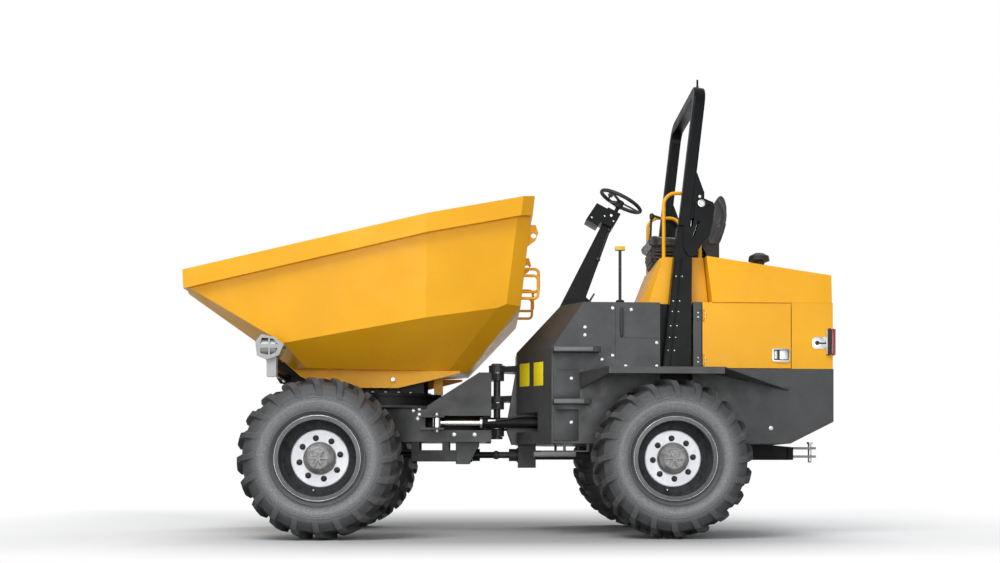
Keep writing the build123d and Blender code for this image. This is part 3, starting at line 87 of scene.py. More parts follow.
# Node material helpers
class Shade:
    """A material with its principled shader and the few node patterns used here."""

    def __init__(self, name):
        self.material = bpy.data.materials.new(name)
        self.material.use_nodes = True
        self.tree = self.material.node_tree
        self.tree.nodes.clear()
        self.out = self.node("OutputMaterial")
        self.shader = self.node("BsdfPrincipled")
        self.link(self.shader.outputs["BSDF"], self.out.inputs["Surface"])
        self.place = self.node("TexCoord").outputs["Object"]

    def link(self, source, target):
        self.tree.links.new(source, target)

    def feed(self, value, socket):
        """Link a pattern to a socket, or set a plain value or colour on it."""
        if isinstance(value, tuple):
            socket.default_value = (*value, 1)
        elif isinstance(value, (int, float)):
            socket.default_value = value
        else:
            self.link(value, socket)

    def node(self, kind, **values):
        """A new node with values set on its inputs, an underscore standing for a space."""
        node = self.tree.nodes.new(f"ShaderNode{kind}")
        self.fill(node, values)
        return node

    def fill(self, node, values):
        for name, value in values.items():
            node.inputs[name.replace("_", " ")].default_value = value

    def set(self, **values):
        self.fill(self.shader, values)

    def noise(self, scale, detail=4, rough=0.55, stretch=(1, 1, 1), offset=(0, 0, 0)):
        node = self.node("TexNoise", Scale=scale, Detail=detail, Roughness=rough)
        mapping = self.node("Mapping", Scale=stretch, Location=offset)
        self.link(self.place, mapping.inputs["Vector"])
        self.link(mapping.outputs["Vector"], node.inputs["Vector"])
        return node.outputs["Fac"]

    def ramp(self, fac, stops):
        node = self.node("ValToRGB")
        ramp = node.color_ramp
        while len(ramp.elements) > 1:
            ramp.elements.remove(ramp.elements[-1])
        for number, (at, grey) in enumerate(stops):
            colour = grey if isinstance(grey, tuple) else (grey, grey, grey)
            element = ramp.elements[0] if number == 0 else ramp.elements.new(at)
            element.position = at
            element.color = (*colour, 1)
        self.link(fac, node.inputs["Fac"])
        return node.outputs["Color"]

    def patches(self, pattern, low, high):
        """A pattern drawn apart: 0 up to low, 1 from high on."""
        return self.ramp(pattern, [(low, 0.0), (high, 1.0)])

    def mix(self, fac, a, b):
        node = self.node("Mix")
        node.data_type = "RGBA"
        for value, number in ((fac, 0), (a, 6), (b, 7)):
            self.feed(value, node.inputs[number])
        return node.outputs[2]

    def math(self, operation, a, b=0.0):
        node = self.node("Math")
        node.operation = operation
        for value, socket in zip((a, b), node.inputs):
            self.feed(value, socket)
        return node.outputs[0]

    def times(self, a, b):
        return self.math("MULTIPLY", a, b)

    def axis(self, letter):
        node = self.node("SeparateXYZ")
        self.link(self.place, node.inputs[0])
        return node.outputs[letter]

    def span(self, value, low, high):
        """0 below low, 1 above high, straight between."""
        node = self.node("MapRange", From_Min=low, From_Max=high)
        self.link(value, node.inputs["Value"])
        return node.outputs["Result"]

    def below(self, value, low, high):
        """1 below low, 0 above high."""
        return self.math("SUBTRACT", 1.0, self.span(value, low, high))

    def blotted(self, pattern, share, level):
        """A pattern weakened to a share and raised to a level."""
        return self.math("ADD", self.times(pattern, share), level)

    def bump(self, height, strength, distance, edge=0.0):
        node = self.node("Bump", Strength=strength, Distance=distance)
        self.link(height, node.inputs["Height"])
        if edge:
            self.link(self.soft_edge(edge), node.inputs["Normal"])
        self.link(node.outputs["Normal"], self.shader.inputs["Normal"])

    def soft_edge(self, radius):
        node = self.node("Bevel", Radius=radius)
        node.samples = 4
        return node.outputs["Normal"]

    def edge_mask(self, radius):
        """1 on outer and inner edges, 0 on flats."""
        bevel = self.soft_edge(radius)
        flat = self.node("NewGeometry").outputs["Normal"]
        dot = self.node("VectorMath")
        dot.operation = "DOT_PRODUCT"
        self.link(bevel, dot.inputs[0])
        self.link(flat, dot.inputs[1])
        return self.math("SUBTRACT", 1.0, dot.outputs["Value"])

    def ring_radius(self, x, z):
        """Distance from a wheel's axle line."""
        dx = self.math("SUBTRACT", self.axis("X"), x)
        dz = self.math("SUBTRACT", self.axis("Z"), z)
        squares = self.times(dx, dx), self.times(dz, dz)
        return self.math("SQRT", self.math("ADD", *squares))

    def colour(self, value):
        self.feed(value, self.shader.inputs["Base Color"])

    def roughness(self, value):
        self.link(value, self.shader.inputs["Roughness"])


def shade_tone(colour, share):
    return tuple(min(1.0, c * share) for c in colour)


def shade_smooth(data, sharp_from=180):
    """Smooth shading, but for edges that turn by more than the given degrees."""
    data.polygons.foreach_set("use_smooth", [True] * len(data.polygons))
    if sharp_from < 180:
        data.set_sharp_from_angle(angle=math.radians(sharp_from))


SHARP = 32
ROAD_DUST = (0.34, 0.31, 0.27)
# Where one colour gives way to another, as pairs of places along one axis
DUST_HEIGHT = (0.45, 1.9)
HANGER_TOP, HANGER_BACK, NOSE_BACK = (0.708, 0.710), (-0.501, -0.499), (-0.93, -0.83)
DOOR_FRONT = (1.3865, 1.3875)
RIM_PARTING = (0.2065, 0.2075)
SIDEWALL = (0.29, 0.60)


def paint(name, colour, rough=0.38, dust=0.16, wear_and_highlight=0.5, coat=0.25, gloss=0.5, front=None, strip=None):
    """Sprayed machine paint: slight cloudiness, road dust low down, chipped light edges (on the dark paint also a
    painted highlight), orange peel.

    front is a near-black painted shade for the nose and the hangers of the front frame,
    strip a second colour for what lies ahead of the side doors.
    """
    s = Shade(name)
    cloud = s.patches(s.noise(2.2, 5), 0.35, 0.7)
    base = s.mix(cloud, shade_tone(colour, 0.93), shade_tone(colour, 1.05))
    # Painted shade: the nose and the low hangers of the front frame turn near-black
    if front:
        hanger = s.times(s.below(s.axis("Z"), *HANGER_TOP), s.below(s.axis("X"), *HANGER_BACK))
        nose = s.below(s.axis("X"), *NOSE_BACK)
        base = s.mix(s.math("MAXIMUM", hanger, nose), base, front)
    if strip:
        base = s.mix(s.below(s.axis("X"), *DOOR_FRONT), base, strip)
    low = s.below(s.axis("Z"), *DUST_HEIGHT)
    patch = s.patches(s.noise(9, 8, 0.7, offset=(3, 1, 5)), 0.42, 0.72)
    film = s.times(s.times(low, patch), dust)
    base = s.mix(film, base, ROAD_DUST)
    streak = s.patches(s.noise(14, 6, 0.6, stretch=(3.5, 3.5, 0.16)), 0.56, 0.78)
    base = s.mix(s.times(streak, dust * 0.45), base, shade_tone(ROAD_DUST, 0.7))
    # Lighter edges: chipped wear, and with a large share, as on the dark paint, also a painted highlight along the
    # edges
    chips = s.patches(s.noise(60, 3, 0.6), 0.5, 0.62)
    edge = s.times(s.span(s.edge_mask(0.004), 0.05, 0.3), chips)
    base = s.mix(s.times(edge, wear_and_highlight * 0.6), base, shade_tone(colour, 1.7))
    s.colour(base)
    s.roughness(s.span(s.noise(6, 6, 0.65, offset=(9, 2, 4)), 0.0, 1.0 / (rough * 1.6)))
    s.set(Coat_Weight=coat, Coat_Roughness=0.2, Specular_IOR_Level=gloss)
    s.bump(s.noise(420, 2), 0.05, 0.0008, edge=0.003)
    return s.material


def plastic(name, colour, rough=0.55, grain=260):
    s = Shade(name)
    tone = s.patches(s.noise(5, 6, 0.7), 0.3, 0.75)
    s.colour(s.mix(tone, shade_tone(colour, 0.85), shade_tone(colour, 1.35)))
    s.roughness(s.blotted(s.noise(40, 3), 0.25, rough - 0.12))
    s.bump(s.noise(grain, 4), 0.16, 0.0008, edge=0.002)
    return s.material


def metal(name, colour, rough=0.3, brushed=(1, 1, 60)):
    s = Shade(name)
    lines = s.noise(22, 5, 0.7, stretch=brushed)
    s.colour(s.mix(s.patches(lines, 0.3, 0.7), shade_tone(colour, 0.85), shade_tone(colour, 1.1)))
    s.set(Metallic=1.0)
    s.roughness(s.blotted(lines, 0.18, rough - 0.09))
    s.bump(lines, 0.04, 0.0005, edge=0.0015)
    return s.material


def cast(name, colour):
    s = Shade(name)
    grit = s.noise(150, 6, 0.75)
    cloud = s.patches(s.noise(16, 6, 0.7), 0.32, 0.68)
    s.colour(s.mix(cloud, shade_tone(colour, 0.55), shade_tone(colour, 1.5)))
    s.set(Metallic=0.35)
    s.roughness(s.blotted(cloud, 0.25, 0.42))
    s.bump(grit, 0.35, 0.0016, edge=0.003)
    return s.material


# How pale the tyre's side is from the rim's edge, 0, to the shoulder, 1
SIDEWALL_TONE = [(0.0, 0.10), (0.12, 0.28), (0.26, 0.85), (0.33, 1.0), (0.42, 0.80),
                 (0.52, 0.32), (0.66, 0.12), (0.82, 0.06), (1.0, 0.15)]


def tyre_rubber(name, axle_x):
    """Tyre rubber: dusty grey shoulders, a lighter scuffed ring on the sidewall, worn lug tops."""
    s = Shade(name)
    radius = s.ring_radius(axle_x, TYRE_RADIUS)
    cloud = s.patches(s.noise(7, 8, 0.72), 0.34, 0.7)
    speck = s.patches(s.noise(95, 5, 0.8), 0.4, 0.68)
    base = s.mix(cloud, (0.016, 0.017, 0.018), (0.050, 0.052, 0.054))
    ring = s.ramp(s.span(radius, *SIDEWALL), SIDEWALL_TONE)
    ring_mask = s.times(ring, s.blotted(speck, 0.55, 0.42))
    base = s.mix(ring_mask, base, (0.33, 0.335, 0.335))
    worn = s.times(s.span(s.edge_mask(0.006), 0.04, 0.35), 0.6)
    base = s.mix(worn, base, (0.24, 0.24, 0.24))
    s.colour(base)
    s.roughness(s.blotted(cloud, 0.16, 0.56))
    fine = s.math("ADD", s.times(s.noise(130, 6, 0.7), 0.6), s.noise(22, 5, 0.7))
    s.bump(fine, 0.32, 0.0035, edge=0.008)
    return s.material


def wheel_paint(name, axle_x):
    """Rim: gloss black barrel and a silver sprayed disc inside it, parted at a radius."""
    s = Shade(name)
    radius = s.ring_radius(axle_x, TYRE_RADIUS)
    outer = s.span(radius, *RIM_PARTING)
    grain = s.patches(s.noise(12, 6, 0.7), 0.3, 0.7)
    silver = s.mix(grain, (0.70, 0.70, 0.74), (0.84, 0.84, 0.89))
    black = s.mix(grain, (0.034, 0.035, 0.037), (0.085, 0.087, 0.092))
    dust = s.times(s.patches(s.noise(34, 8, 0.75), 0.5, 0.72), 0.16)
    s.colour(s.mix(dust, s.mix(outer, silver, black), (0.3, 0.28, 0.26)))
    s.link(s.times(s.math("SUBTRACT", 1.0, outer), 0.3), s.shader.inputs["Metallic"])
    s.roughness(s.mix(outer, (0.36, 0.36, 0.36), (0.2, 0.2, 0.2)))
    s.bump(s.noise(300, 3), 0.06, 0.0008, edge=0.003)
    return s.material


def lens(name, colour, rough=0.12):
    s = Shade(name)
    cells = s.node("TexVoronoi", Scale=130)
    s.link(s.place, cells.inputs["Vector"])
    tone = s.patches(cells.outputs["Distance"], 0.0, 0.6)
    s.colour(s.mix(tone, shade_tone(colour, 1.25), shade_tone(colour, 0.6)))
    s.set(Roughness=rough, Coat_Weight=0.8)
    s.bump(cells.outputs["Distance"], 0.4, 0.0015)
    return s.material


def seat_vinyl(name, colour):
    """Grained seat vinyl with its weave backing showing as a fine pattern."""
    s = Shade(name)
    pebble = s.node("TexVoronoi", Scale=420)
    s.link(s.place, pebble.inputs["Vector"])
    cloud = s.patches(s.noise(9, 6, 0.7), 0.3, 0.72)
    s.colour(s.mix(cloud, shade_tone(colour, 0.75), shade_tone(colour, 1.6)))
    s.roughness(s.blotted(cloud, 0.2, 0.28))
    s.set(Sheen_Weight=0.15)
    s.bump(s.math("ADD", pebble.outputs["Distance"], s.noise(60, 4)), 0.3, 0.0012)
    return s.material


YELLOW = (0.98, 0.46, 0.010)
GREY = (0.053, 0.0555, 0.058)
DARK = (0.0065, 0.007, 0.0078)
yellow_coat = dict(rough=0.42, dust=0.05, wear_and_highlight=0.35, coat=0.07, gloss=0.22)
grey_coat = dict(rough=0.5, dust=0.06, wear_and_highlight=0.8, coat=0.08)
look = {
    "yellow": paint("yellow_paint", YELLOW, **yellow_coat),
    "grey": paint("grey_paint", GREY, **grey_coat, gloss=0.35),
    "bay_yellow": paint("bay_paint", YELLOW, **yellow_coat, strip=GREY),
    # Its front colour is painted shade on the frame's nose and low hangers
    "front_grey_and_shade": paint("front_frame_paint_and_shade", GREY, **grey_coat, gloss=0.3, front=(0.008, 0.0085, 0.009)),
    # Its wear share of 1.6 makes the lighter edges partly wear, partly a painted highlight on the roll bar's tubes
    "dark": paint("dark_paint", DARK, rough=0.42, dust=0.03, wear_and_highlight=1.6, coat=0.02, gloss=0.12),
    "plastic": plastic("black_plastic", (0.018, 0.018, 0.019)),
    "hose": plastic("hose_rubber", (0.014, 0.014, 0.015), rough=0.48, grain=900),
    "steel": metal("bright_steel", (0.62, 0.62, 0.63), rough=0.28),
    "zinc": metal("zinc_plate", (0.72, 0.72, 0.70), rough=0.36),
    "chrome": metal("polished_rod", (0.86, 0.86, 0.88), rough=0.14, brushed=(60, 1, 1)),
    "cast": cast("cast_iron", (0.045, 0.045, 0.046)),
    "hub": cast("cast_hub", (0.30, 0.30, 0.295)),
    "vinyl": seat_vinyl("seat_vinyl", (0.030, 0.030, 0.031)),
    "red": lens("red_lens", (0.42, 0.012, 0.016)),
    "clear": lens("lamp_lens", (0.75, 0.76, 0.78), rough=0.06),
    "plate": paint("plate_yellow", (0.92, 0.78, 0.02), rough=0.3, dust=0.02, wear_and_highlight=0.1, coat=0.1, gloss=0.3),
    "tread": paint("tread_paint", (0.15, 0.155, 0.16), rough=0.45, dust=0.12, wear_and_highlight=0.8, coat=0.05, gloss=0.4),
    "silver": paint("silver_paint", (0.42, 0.42, 0.42), rough=0.4, dust=0.1, wear_and_highlight=0.5),
    "cap": plastic("yellow_plastic", (0.90, 0.50, 0.02), rough=0.4),
    "tyre_front": tyre_rubber("tyre_rubber_front", AXLE_X["front"]),
    "tyre_rear": tyre_rubber("tyre_rubber_rear", AXLE_X["rear"]),
    "rim_front": wheel_paint("rim_paint_front", AXLE_X["front"]),
    "rim_rear": wheel_paint("rim_paint_rear", AXLE_X["rear"]),
}

nodes_of_look = {
    "yellow": "skip skip_underframe skip_handles bonnet seat_box grab_rails",
    "dark": """turret slew_ring tip_barrels front_axle rear_axle bulkhead steering_column rops_posts rops_hoop
               tow_hitch front_propshaft steer_barrel_near steer_barrel_far""",
    "chrome": "tip_rods steer_rod_near steer_rod_far",
    "grey": "rear_chassis operator_tub steps fenders rear_body",
    "bay_yellow": "rear_surround side_door_near side_door_far",
    "front_grey_and_shade": "front_chassis",
    "silver": "work_lamps",
    "plastic": "air_cleaner seat_base steering_wheel floor_controls",
    "cast": "engine_block drop_box",
    "vinyl": "seat_cushion seat_back",
    "red": "tail_lamps",
}
node_look = {name: style for style, names in nodes_of_look.items() for name in names.split()}
for end in ("front", "rear"):
    for side in ("near", "far"):
        node_look[f"tyre_{end}_{side}"] = f"tyre_{end}"
        node_look[f"rim_{end}_{side}"] = f"rim_{end}"
        node_look[f"hub_{end}_{side}"] = "hub"
for name, node in nodes.items():
    node.data.materials.clear()
    node.data.materials.append(look[node_look[name]])
    shade_smooth(node.data, SHARP)


# Mesh kit: small parts of one look and one body are gathered in one piece
CUBE = [(-1, -1, -1), (1, -1, -1), (1, 1, -1), (-1, 1, -1), (-1, -1, 1), (1, -1, 1), (1, 1, 1), (-1, 1, 1)]


def circle(sides, first=0.0):
    """Cosine and sine of even steps round a circle, from a first angle on."""
    angles = [first + 2 * math.pi * k / sides for k in range(sides)]
    return [(math.cos(a), math.sin(a)) for a in angles]


def upright(c, n):
    """A direction in the side view's plane."""
    return Vector((c, 0, n))


def sideways(side):
    return Vector((0, side, 0))


def cross_axes(axis):
    """An axis of length 1 and two directions square to it."""
    axis = Vector(axis).normalized()
    across = axis.orthogonal().normalized()
    return axis, across, axis.cross(across)


class Parts:
    """Collects boxes, discs, tubes and plates in one mesh."""

    def __init__(self, name, body, style, slot):
        self.name, self.body, self.style, self.slot = name, body, style, slot
        self.mesh = bmesh.new()

    def box(self, low, high, turn=None):
        centre = (Vector(low) + Vector(high)) / 2
        half = (Vector(high) - Vector(low)) / 2
        corners = [Vector((x * half.x, y * half.y, z * half.z)) for x, y, z in CUBE]
        self.skin([centre + (turn @ corner if turn else corner) for corner in corners], 4)

    def prism(self, outline, y_low, y_high):
        """Plate from a side-view outline given as (x, z), in either order round."""
        self.skin([Vector((x, y, z)) for y in (y_high, y_low) for x, z in outline], len(outline))

    def skin(self, points, sides, closed=False):
        """Faces between rings of points, with a cap at both ends or closed in a loop.

        Either way round will do, because done() turns every face outwards.
        """
        rings = len(points) // sides
        loops = []
        for r in range(rings if closed else rings - 1):
            after = (r + 1) % rings
            for k in range(sides):
                n = (k + 1) % sides
                loops.append((r * sides + k, r * sides + n, after * sides + n, after * sides + k))
        if not closed:
            loops += [range(sides - 1, -1, -1), range((rings - 1) * sides, rings * sides)]
        made = [self.mesh.verts.new(p) for p in points]
        for loop in loops:
            self.mesh.faces.new([made[i] for i in loop])

    def stack(self, at, axis, rings, sides=20):
        """Turned or prismatic part: rings are (radius, height) along the axis, closed at both ends."""
        axis, across, other = cross_axes(axis)
        points = [Vector(at) + axis * height + (across * c + other * n) * radius
                  for radius, height in rings for c, n in circle(sides)]
        self.skin(points, sides)

    def bolt(self, at, axis, size):
        """Hexagon head on a washer, size across the corners."""
        height = size * 0.38
        self.stack(at, axis, [(size * 0.72, 0), (size * 0.72, size * 0.07), (size * 0.66, size * 0.1)])
        self.stack(Vector(at) + Vector(axis).normalized() * size * 0.08, axis,
                   [(size * 0.5, 0), (size * 0.5, height * 0.86), (size * 0.42, height)], sides=6)

    def torus(self, at, axis, radius, tube, sides=48, round_sides=8):
        axis, across, other = cross_axes(axis)
        points = []
        for c, n in circle(sides):
            out = across * c + other * n
            points += [Vector(at) + out * (radius + tube * a) + axis * tube * b for a, b in circle(round_sides)]
        self.skin(points, round_sides, closed=True)

    def tube(self, path, radius, sides=10):
        """Round tube along points, closed at both ends."""
        path = [Vector(p) for p in path]
        points = []
        normal = (path[1] - path[0]).orthogonal().normalized()
        for i, p in enumerate(path):
            ahead = path[min(i + 1, len(path) - 1)] - path[max(i - 1, 0)]
            ahead.normalize()
            normal = (normal - ahead * normal.dot(ahead)).normalized()
            side = ahead.cross(normal)
            points += [p + (normal * c + side * n) * radius for c, n in circle(sides)]
        self.skin(points, sides)

    def ring_tube(self, path, radius, sides=10):
        """Round tube along a flat closed loop of points."""
        points = []
        up = Vector((0, 0, 1))
        for i, p in enumerate(path):
            side = (path[(i + 1) % len(path)] - path[i - 1]).normalized().cross(up)
            points += [p + (side * c + up * n) * radius for c, n in circle(sides)]
        self.skin(points, sides, closed=True)

    def done(self, bevel=0.0, segments=2, smooth=SHARP):
        bmesh.ops.recalc_face_normals(self.mesh, faces=self.mesh.faces)
        data = bpy.data.meshes.new(self.name)
        self.mesh.to_mesh(data)
        self.mesh.free()
        piece = put(self.name, data)
        if bevel:
            round_edges(piece, bevel, segments, 35)
            apply_modifiers(piece)
        shade_smooth(piece.data, smooth)
        piece.data.materials.append(look[self.style])
        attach(piece, self.body)


def round_edges(piece, width, segments, angle):
    """Bevel the edges that turn by more than the given degrees."""
    bevel = piece.modifiers.new("edges", "BEVEL")
    bevel.width, bevel.segments = width, segments
    bevel.limit_method, bevel.angle_limit = "ANGLE", math.radians(angle)


def apply_modifiers(piece):
    """Bake an object's modifiers into its mesh."""
    bpy.context.view_layer.update()
    graph = bpy.context.evaluated_depsgraph_get()
    data = bpy.data.meshes.new_from_object(piece.evaluated_get(graph))
    piece.modifiers.clear()
    piece.data = data


def smooth_path(points, steps=6):
    """Points along a smooth line through the given ones."""
    points = [Vector(p) for p in points]
    ends = [2 * points[0] - points[1]] + points + [2 * points[-1] - points[-2]]
    line = []
    for i in range(1, len(ends) - 2):
        a, b, c, d = ends[i - 1:i + 3]
        for step in range(steps):
            t = step / steps
            curve = (2 * a - 5 * b + 4 * c - d) * t * t + (3 * b - a - 3 * c + d) * t ** 3
            line.append(0.5 * (2 * b + (c - a) * t + curve))
    return line + [points[-1]]


# Wheels: nuts, valve, cast ribs on the hub and moulded rings on the sidewall
NUT_CIRCLE = 0.148
DISC_FACE = 0.095
HUB_FACE = 0.178
VALVE_CIRCLE = 0.232
for end, axle_x in AXLE_X.items():
    for side, word in SIDES:
        body = f"wheel_{end}_{word}"
        centre = Vector((axle_x, side * WHEEL_Y, TYRE_RADIUS))
        out = sideways(side)
        lead = math.radians(11 if end == "front" else 4)
        nuts = Parts(f"wheel_nuts_{end}_{word}", body, "cast", "cast_grey")
        for c, n in circle(8, lead):
            spot = centre + out * DISC_FACE + upright(c, n) * NUT_CIRCLE
            nuts.stack(spot, out, [(0.022, 0), (0.022, 0.004), (0.019, 0.007)])
            nuts.stack(spot, out, [(0.0165, 0.005), (0.0165, 0.021), (0.013, 0.024)], sides=6)
            nuts.stack(spot, out, [(0.0085, 0.02), (0.0085, 0.032), (0.007, 0.034)], sides=12)
        nuts.done(0.001)
        ribs = Parts(f"hub_ribs_{end}_{word}", body, "hub", "cast_grey")
        face = centre + out * HUB_FACE
        for k in range(6):
            arc = []
            for step in range(9):
                t = step / 8
                a = lead + math.radians(60 * k + 62 * t * (1 if k % 2 else 0.8))
                arc.append(face + upright(math.cos(a), math.sin(a)) * (0.008 + 0.060 * t))
            ribs.tube(arc, 0.0042, sides=8)
        ribs.torus(face, out, 0.071, 0.004, sides=40)
        ribs.done()
        ring = Parts(f"sidewall_rings_{end}_{word}", body, f"tyre_{end}", "tyre")
        for radius, depth, tube in ((0.336, 0.2460, 0.0045), (0.432, 0.2475, 0.0040), (0.418, 0.2482, 0.0022)):
            ring.torus(centre + out * depth, out, radius, tube, sides=96)
        ring.done()
        trim = Parts(f"rim_edges_{end}_{word}", body, "steel", "wheel_silver")
        trim.torus(centre + out * 0.2335, out, 0.3035, 0.0022, sides=96)
        trim.torus(centre + out * (DISC_FACE + 0.0006), out, 0.2015, 0.0016, sides=80, round_sides=6)
        valve = math.radians(-101)
        spot = centre + upright(math.cos(valve), math.sin(valve)) * VALVE_CIRCLE + out * 0.07
        trim.stack(spot, out, [(0.007, 0), (0.007, 0.03), (0.0045, 0.034), (0.0045, 0.048)], sides=12)
        trim.done()


# Small helpers for trim that repeats on both sides of the machine
SUNK = 0.001
UP, DOWN = (0, 0, 1), (0, 0, -1)
AHEAD, ASTERN = (-1, 0, 0), (1, 0, 0)


def plate_on_side(kit, side, x_low, x_high, z_low, z_high, face, proud, cut=0.0):
    """Flat plate on a side face, its corners cut off by a given run."""
    outline = [(x_low, z_low), (x_high, z_low), (x_high, z_high), (x_low, z_high)]
    if cut:
        outline = [(x_low + cut, z_low), (x_high - cut, z_low), (x_high, z_low + cut), (x_high, z_high - cut),
                   (x_high - cut, z_high), (x_low + cut, z_high), (x_low, z_high - cut), (x_low, z_low + cut)]
    kit.prism(outline, *sorted((side * (face - SUNK), side * (face + proud))))


def seam(kit, side, path, face, width=0.003, proud=0.0006):
    """Thin dark line of a panel joint along (x, z) points on a side face."""
    for (x0, z0), (x1, z1) in zip(path, path[1:]):
        run = math.hypot(x1 - x0, z1 - z0)
        nx, nz = -(z1 - z0) / run * width / 2, (x1 - x0) / run * width / 2
        outline = [(x0 - nx, z0 - nz), (x1 - nx, z1 - nz), (x1 + nx, z1 + nz), (x0 + nx, z0 + nz)]
        kit.prism(outline, *sorted((side * (face - SUNK), side * (face + proud))))


# Operator's tub: covers, seams, bolts, a grab bar, deck pattern and the blank plates on its front
covers = Parts("tub_covers", "rear_frame", "grey", "dark_grey")
seams = Parts("panel_seams", "rear_frame", "plastic", "black_plastic")
screws = Parts("body_screws", "rear_frame", "zinc", "steel")
bars = Parts("tub_bars", "rear_frame", "plastic", "black_plastic")
plates = Parts("blank_plates", "rear_frame", "plate", "yellow")
cover_table = ((0.242, 0.446, 1.054, 1.273), (0.242, 0.436, 0.724, 0.966))
screw_table = ((0.486, 1.597), (0.486, 1.537), (0.382, 1.203), (0.381, 0.867), (0.617, 1.350), (0.843, 1.734),
               (0.700, 1.745), (0.700, 1.380), (1.040, 1.480), (1.040, 1.300), (0.800, 1.300))
facet_foot = Vector((-0.026, 0.230))
facet_run = (Vector((0.230, 0.600)) - facet_foot).normalized()
facet_out = Vector((-facet_run.y, facet_run.x))
for side, _ in SIDES:
    for x_low, x_high, z_low, z_high in cover_table:
        plate_on_side(covers, side, x_low, x_high, z_low, z_high, TUB_HALF, 0.006, 0.008)
    for x, z in screw_table:
        face = TUB_HALF + (0.006 if x < 0.45 and z < 1.3 else 0.0)
        screws.bolt((x, side * face, z), (0, side, 0), 0.018)
    seam(seams, side, [(0.721, 1.346), (0.721, 1.768)], TUB_HALF)
    seam(seams, side, [(0.783, 1.540), (0.789, 1.522), (0.806, 1.515), (1.066, 1.515)], TUB_HALF)
    plate_on_side(bars, side, 0.755, 0.781, 1.520, 1.750, TUB_HALF, 0.016, 0.008)
    for low, high, z_low, z_high in ((0.040, 0.167, 1.160, 1.340), (0.224, 0.344, 1.155, 1.338)):
        ends = (facet_foot + facet_run * low, facet_foot + facet_run * high)
        points = []
        for depth in (-0.001, 0.0015):
            for end, z in ((ends[0], z_low), (ends[1], z_low), (ends[1], z_high), (ends[0], z_high)):
                spot = end + facet_out * depth
                points.append(Vector((spot.x, side * spot.y, z)))
        plates.skin(points, 4)
deck = Parts("deck_pattern", "rear_frame", "grey", "dark_grey")
for row in range(9):
    for column in range(-8, 9):
        spot = Vector((0.500 + row * 0.048, column * 0.062, DECK_Z))
        if abs(spot.y) < 0.08 and spot.x < 0.70:
            continue
        turn = Matrix.Rotation(math.radians(45 if (row + column) % 2 else -45), 3, "Z")
        deck.box(spot - Vector((0.017, 0.004, 0.001)), spot + Vector((0.017, 0.004, 0.0018)), turn)
deck.done(0.001)
covers.done(0.002)
bars.done(0.003)
plates.done(0.0006)

# Steps: pale tread fronts, dark end blocks and buttons underfoot
treads = Parts("step_fronts", "rear_frame", "tread", "dark_grey")
buttons = Parts("step_buttons", "rear_frame", "tread", "dark_grey")
blocks = Parts("step_ends", "rear_frame", "plastic", "black_plastic")
# Columns: front end, rear end, underside height, inner and outer distance from the middle,
# length of the dark end block
step_table = ((0.238, 0.590, 1.396, 0.600, 0.750, 0.052),
              (0.238, 0.520, 1.002, 0.600, 0.750, 0.050),
              (0.090, 0.410, 0.604, 0.530, 0.690, 0.0))
for side, _ in SIDES:
    for x_low, x_high, low, inner, outer, end in step_table:
        plate_on_side(treads, side, x_low + 0.003, x_high - end - 0.003, low + 0.003, low + 0.033, outer, 0.002)
        if end:
            plate_on_side(blocks, side, x_high - end, x_high + 0.003, low - 0.004, low + 0.039, outer, 0.004, 0.004)
        for k in range(int((x_high - x_low - 0.04) / 0.040)):
            for row in range(3):
                x = x_low + 0.030 + k * 0.040 + 0.012 * (row % 2)
                spot = (x, side * (inner + 0.035 + row * 0.042), low + 0.0355)
                buttons.stack(spot, UP, [(0.009, 0), (0.008, 0.003), (0.0045, 0.003)], sides=10)
treads.done(0.0008)
buttons.done()
blocks.done(0.002)

# Engine bay: post strip, hinge screws, latches, side lamps with brackets and plug, tail bolts and a seam
strips = Parts("bay_strips", "rear_frame", "grey", "dark_grey")
brackets = Parts("lamp_brackets", "rear_frame", "zinc", "steel")
housings = Parts("lamp_housings", "rear_frame", "plastic", "black_plastic")
lenses = Parts("side_lenses", "rear_frame", "red", "lamp_red")
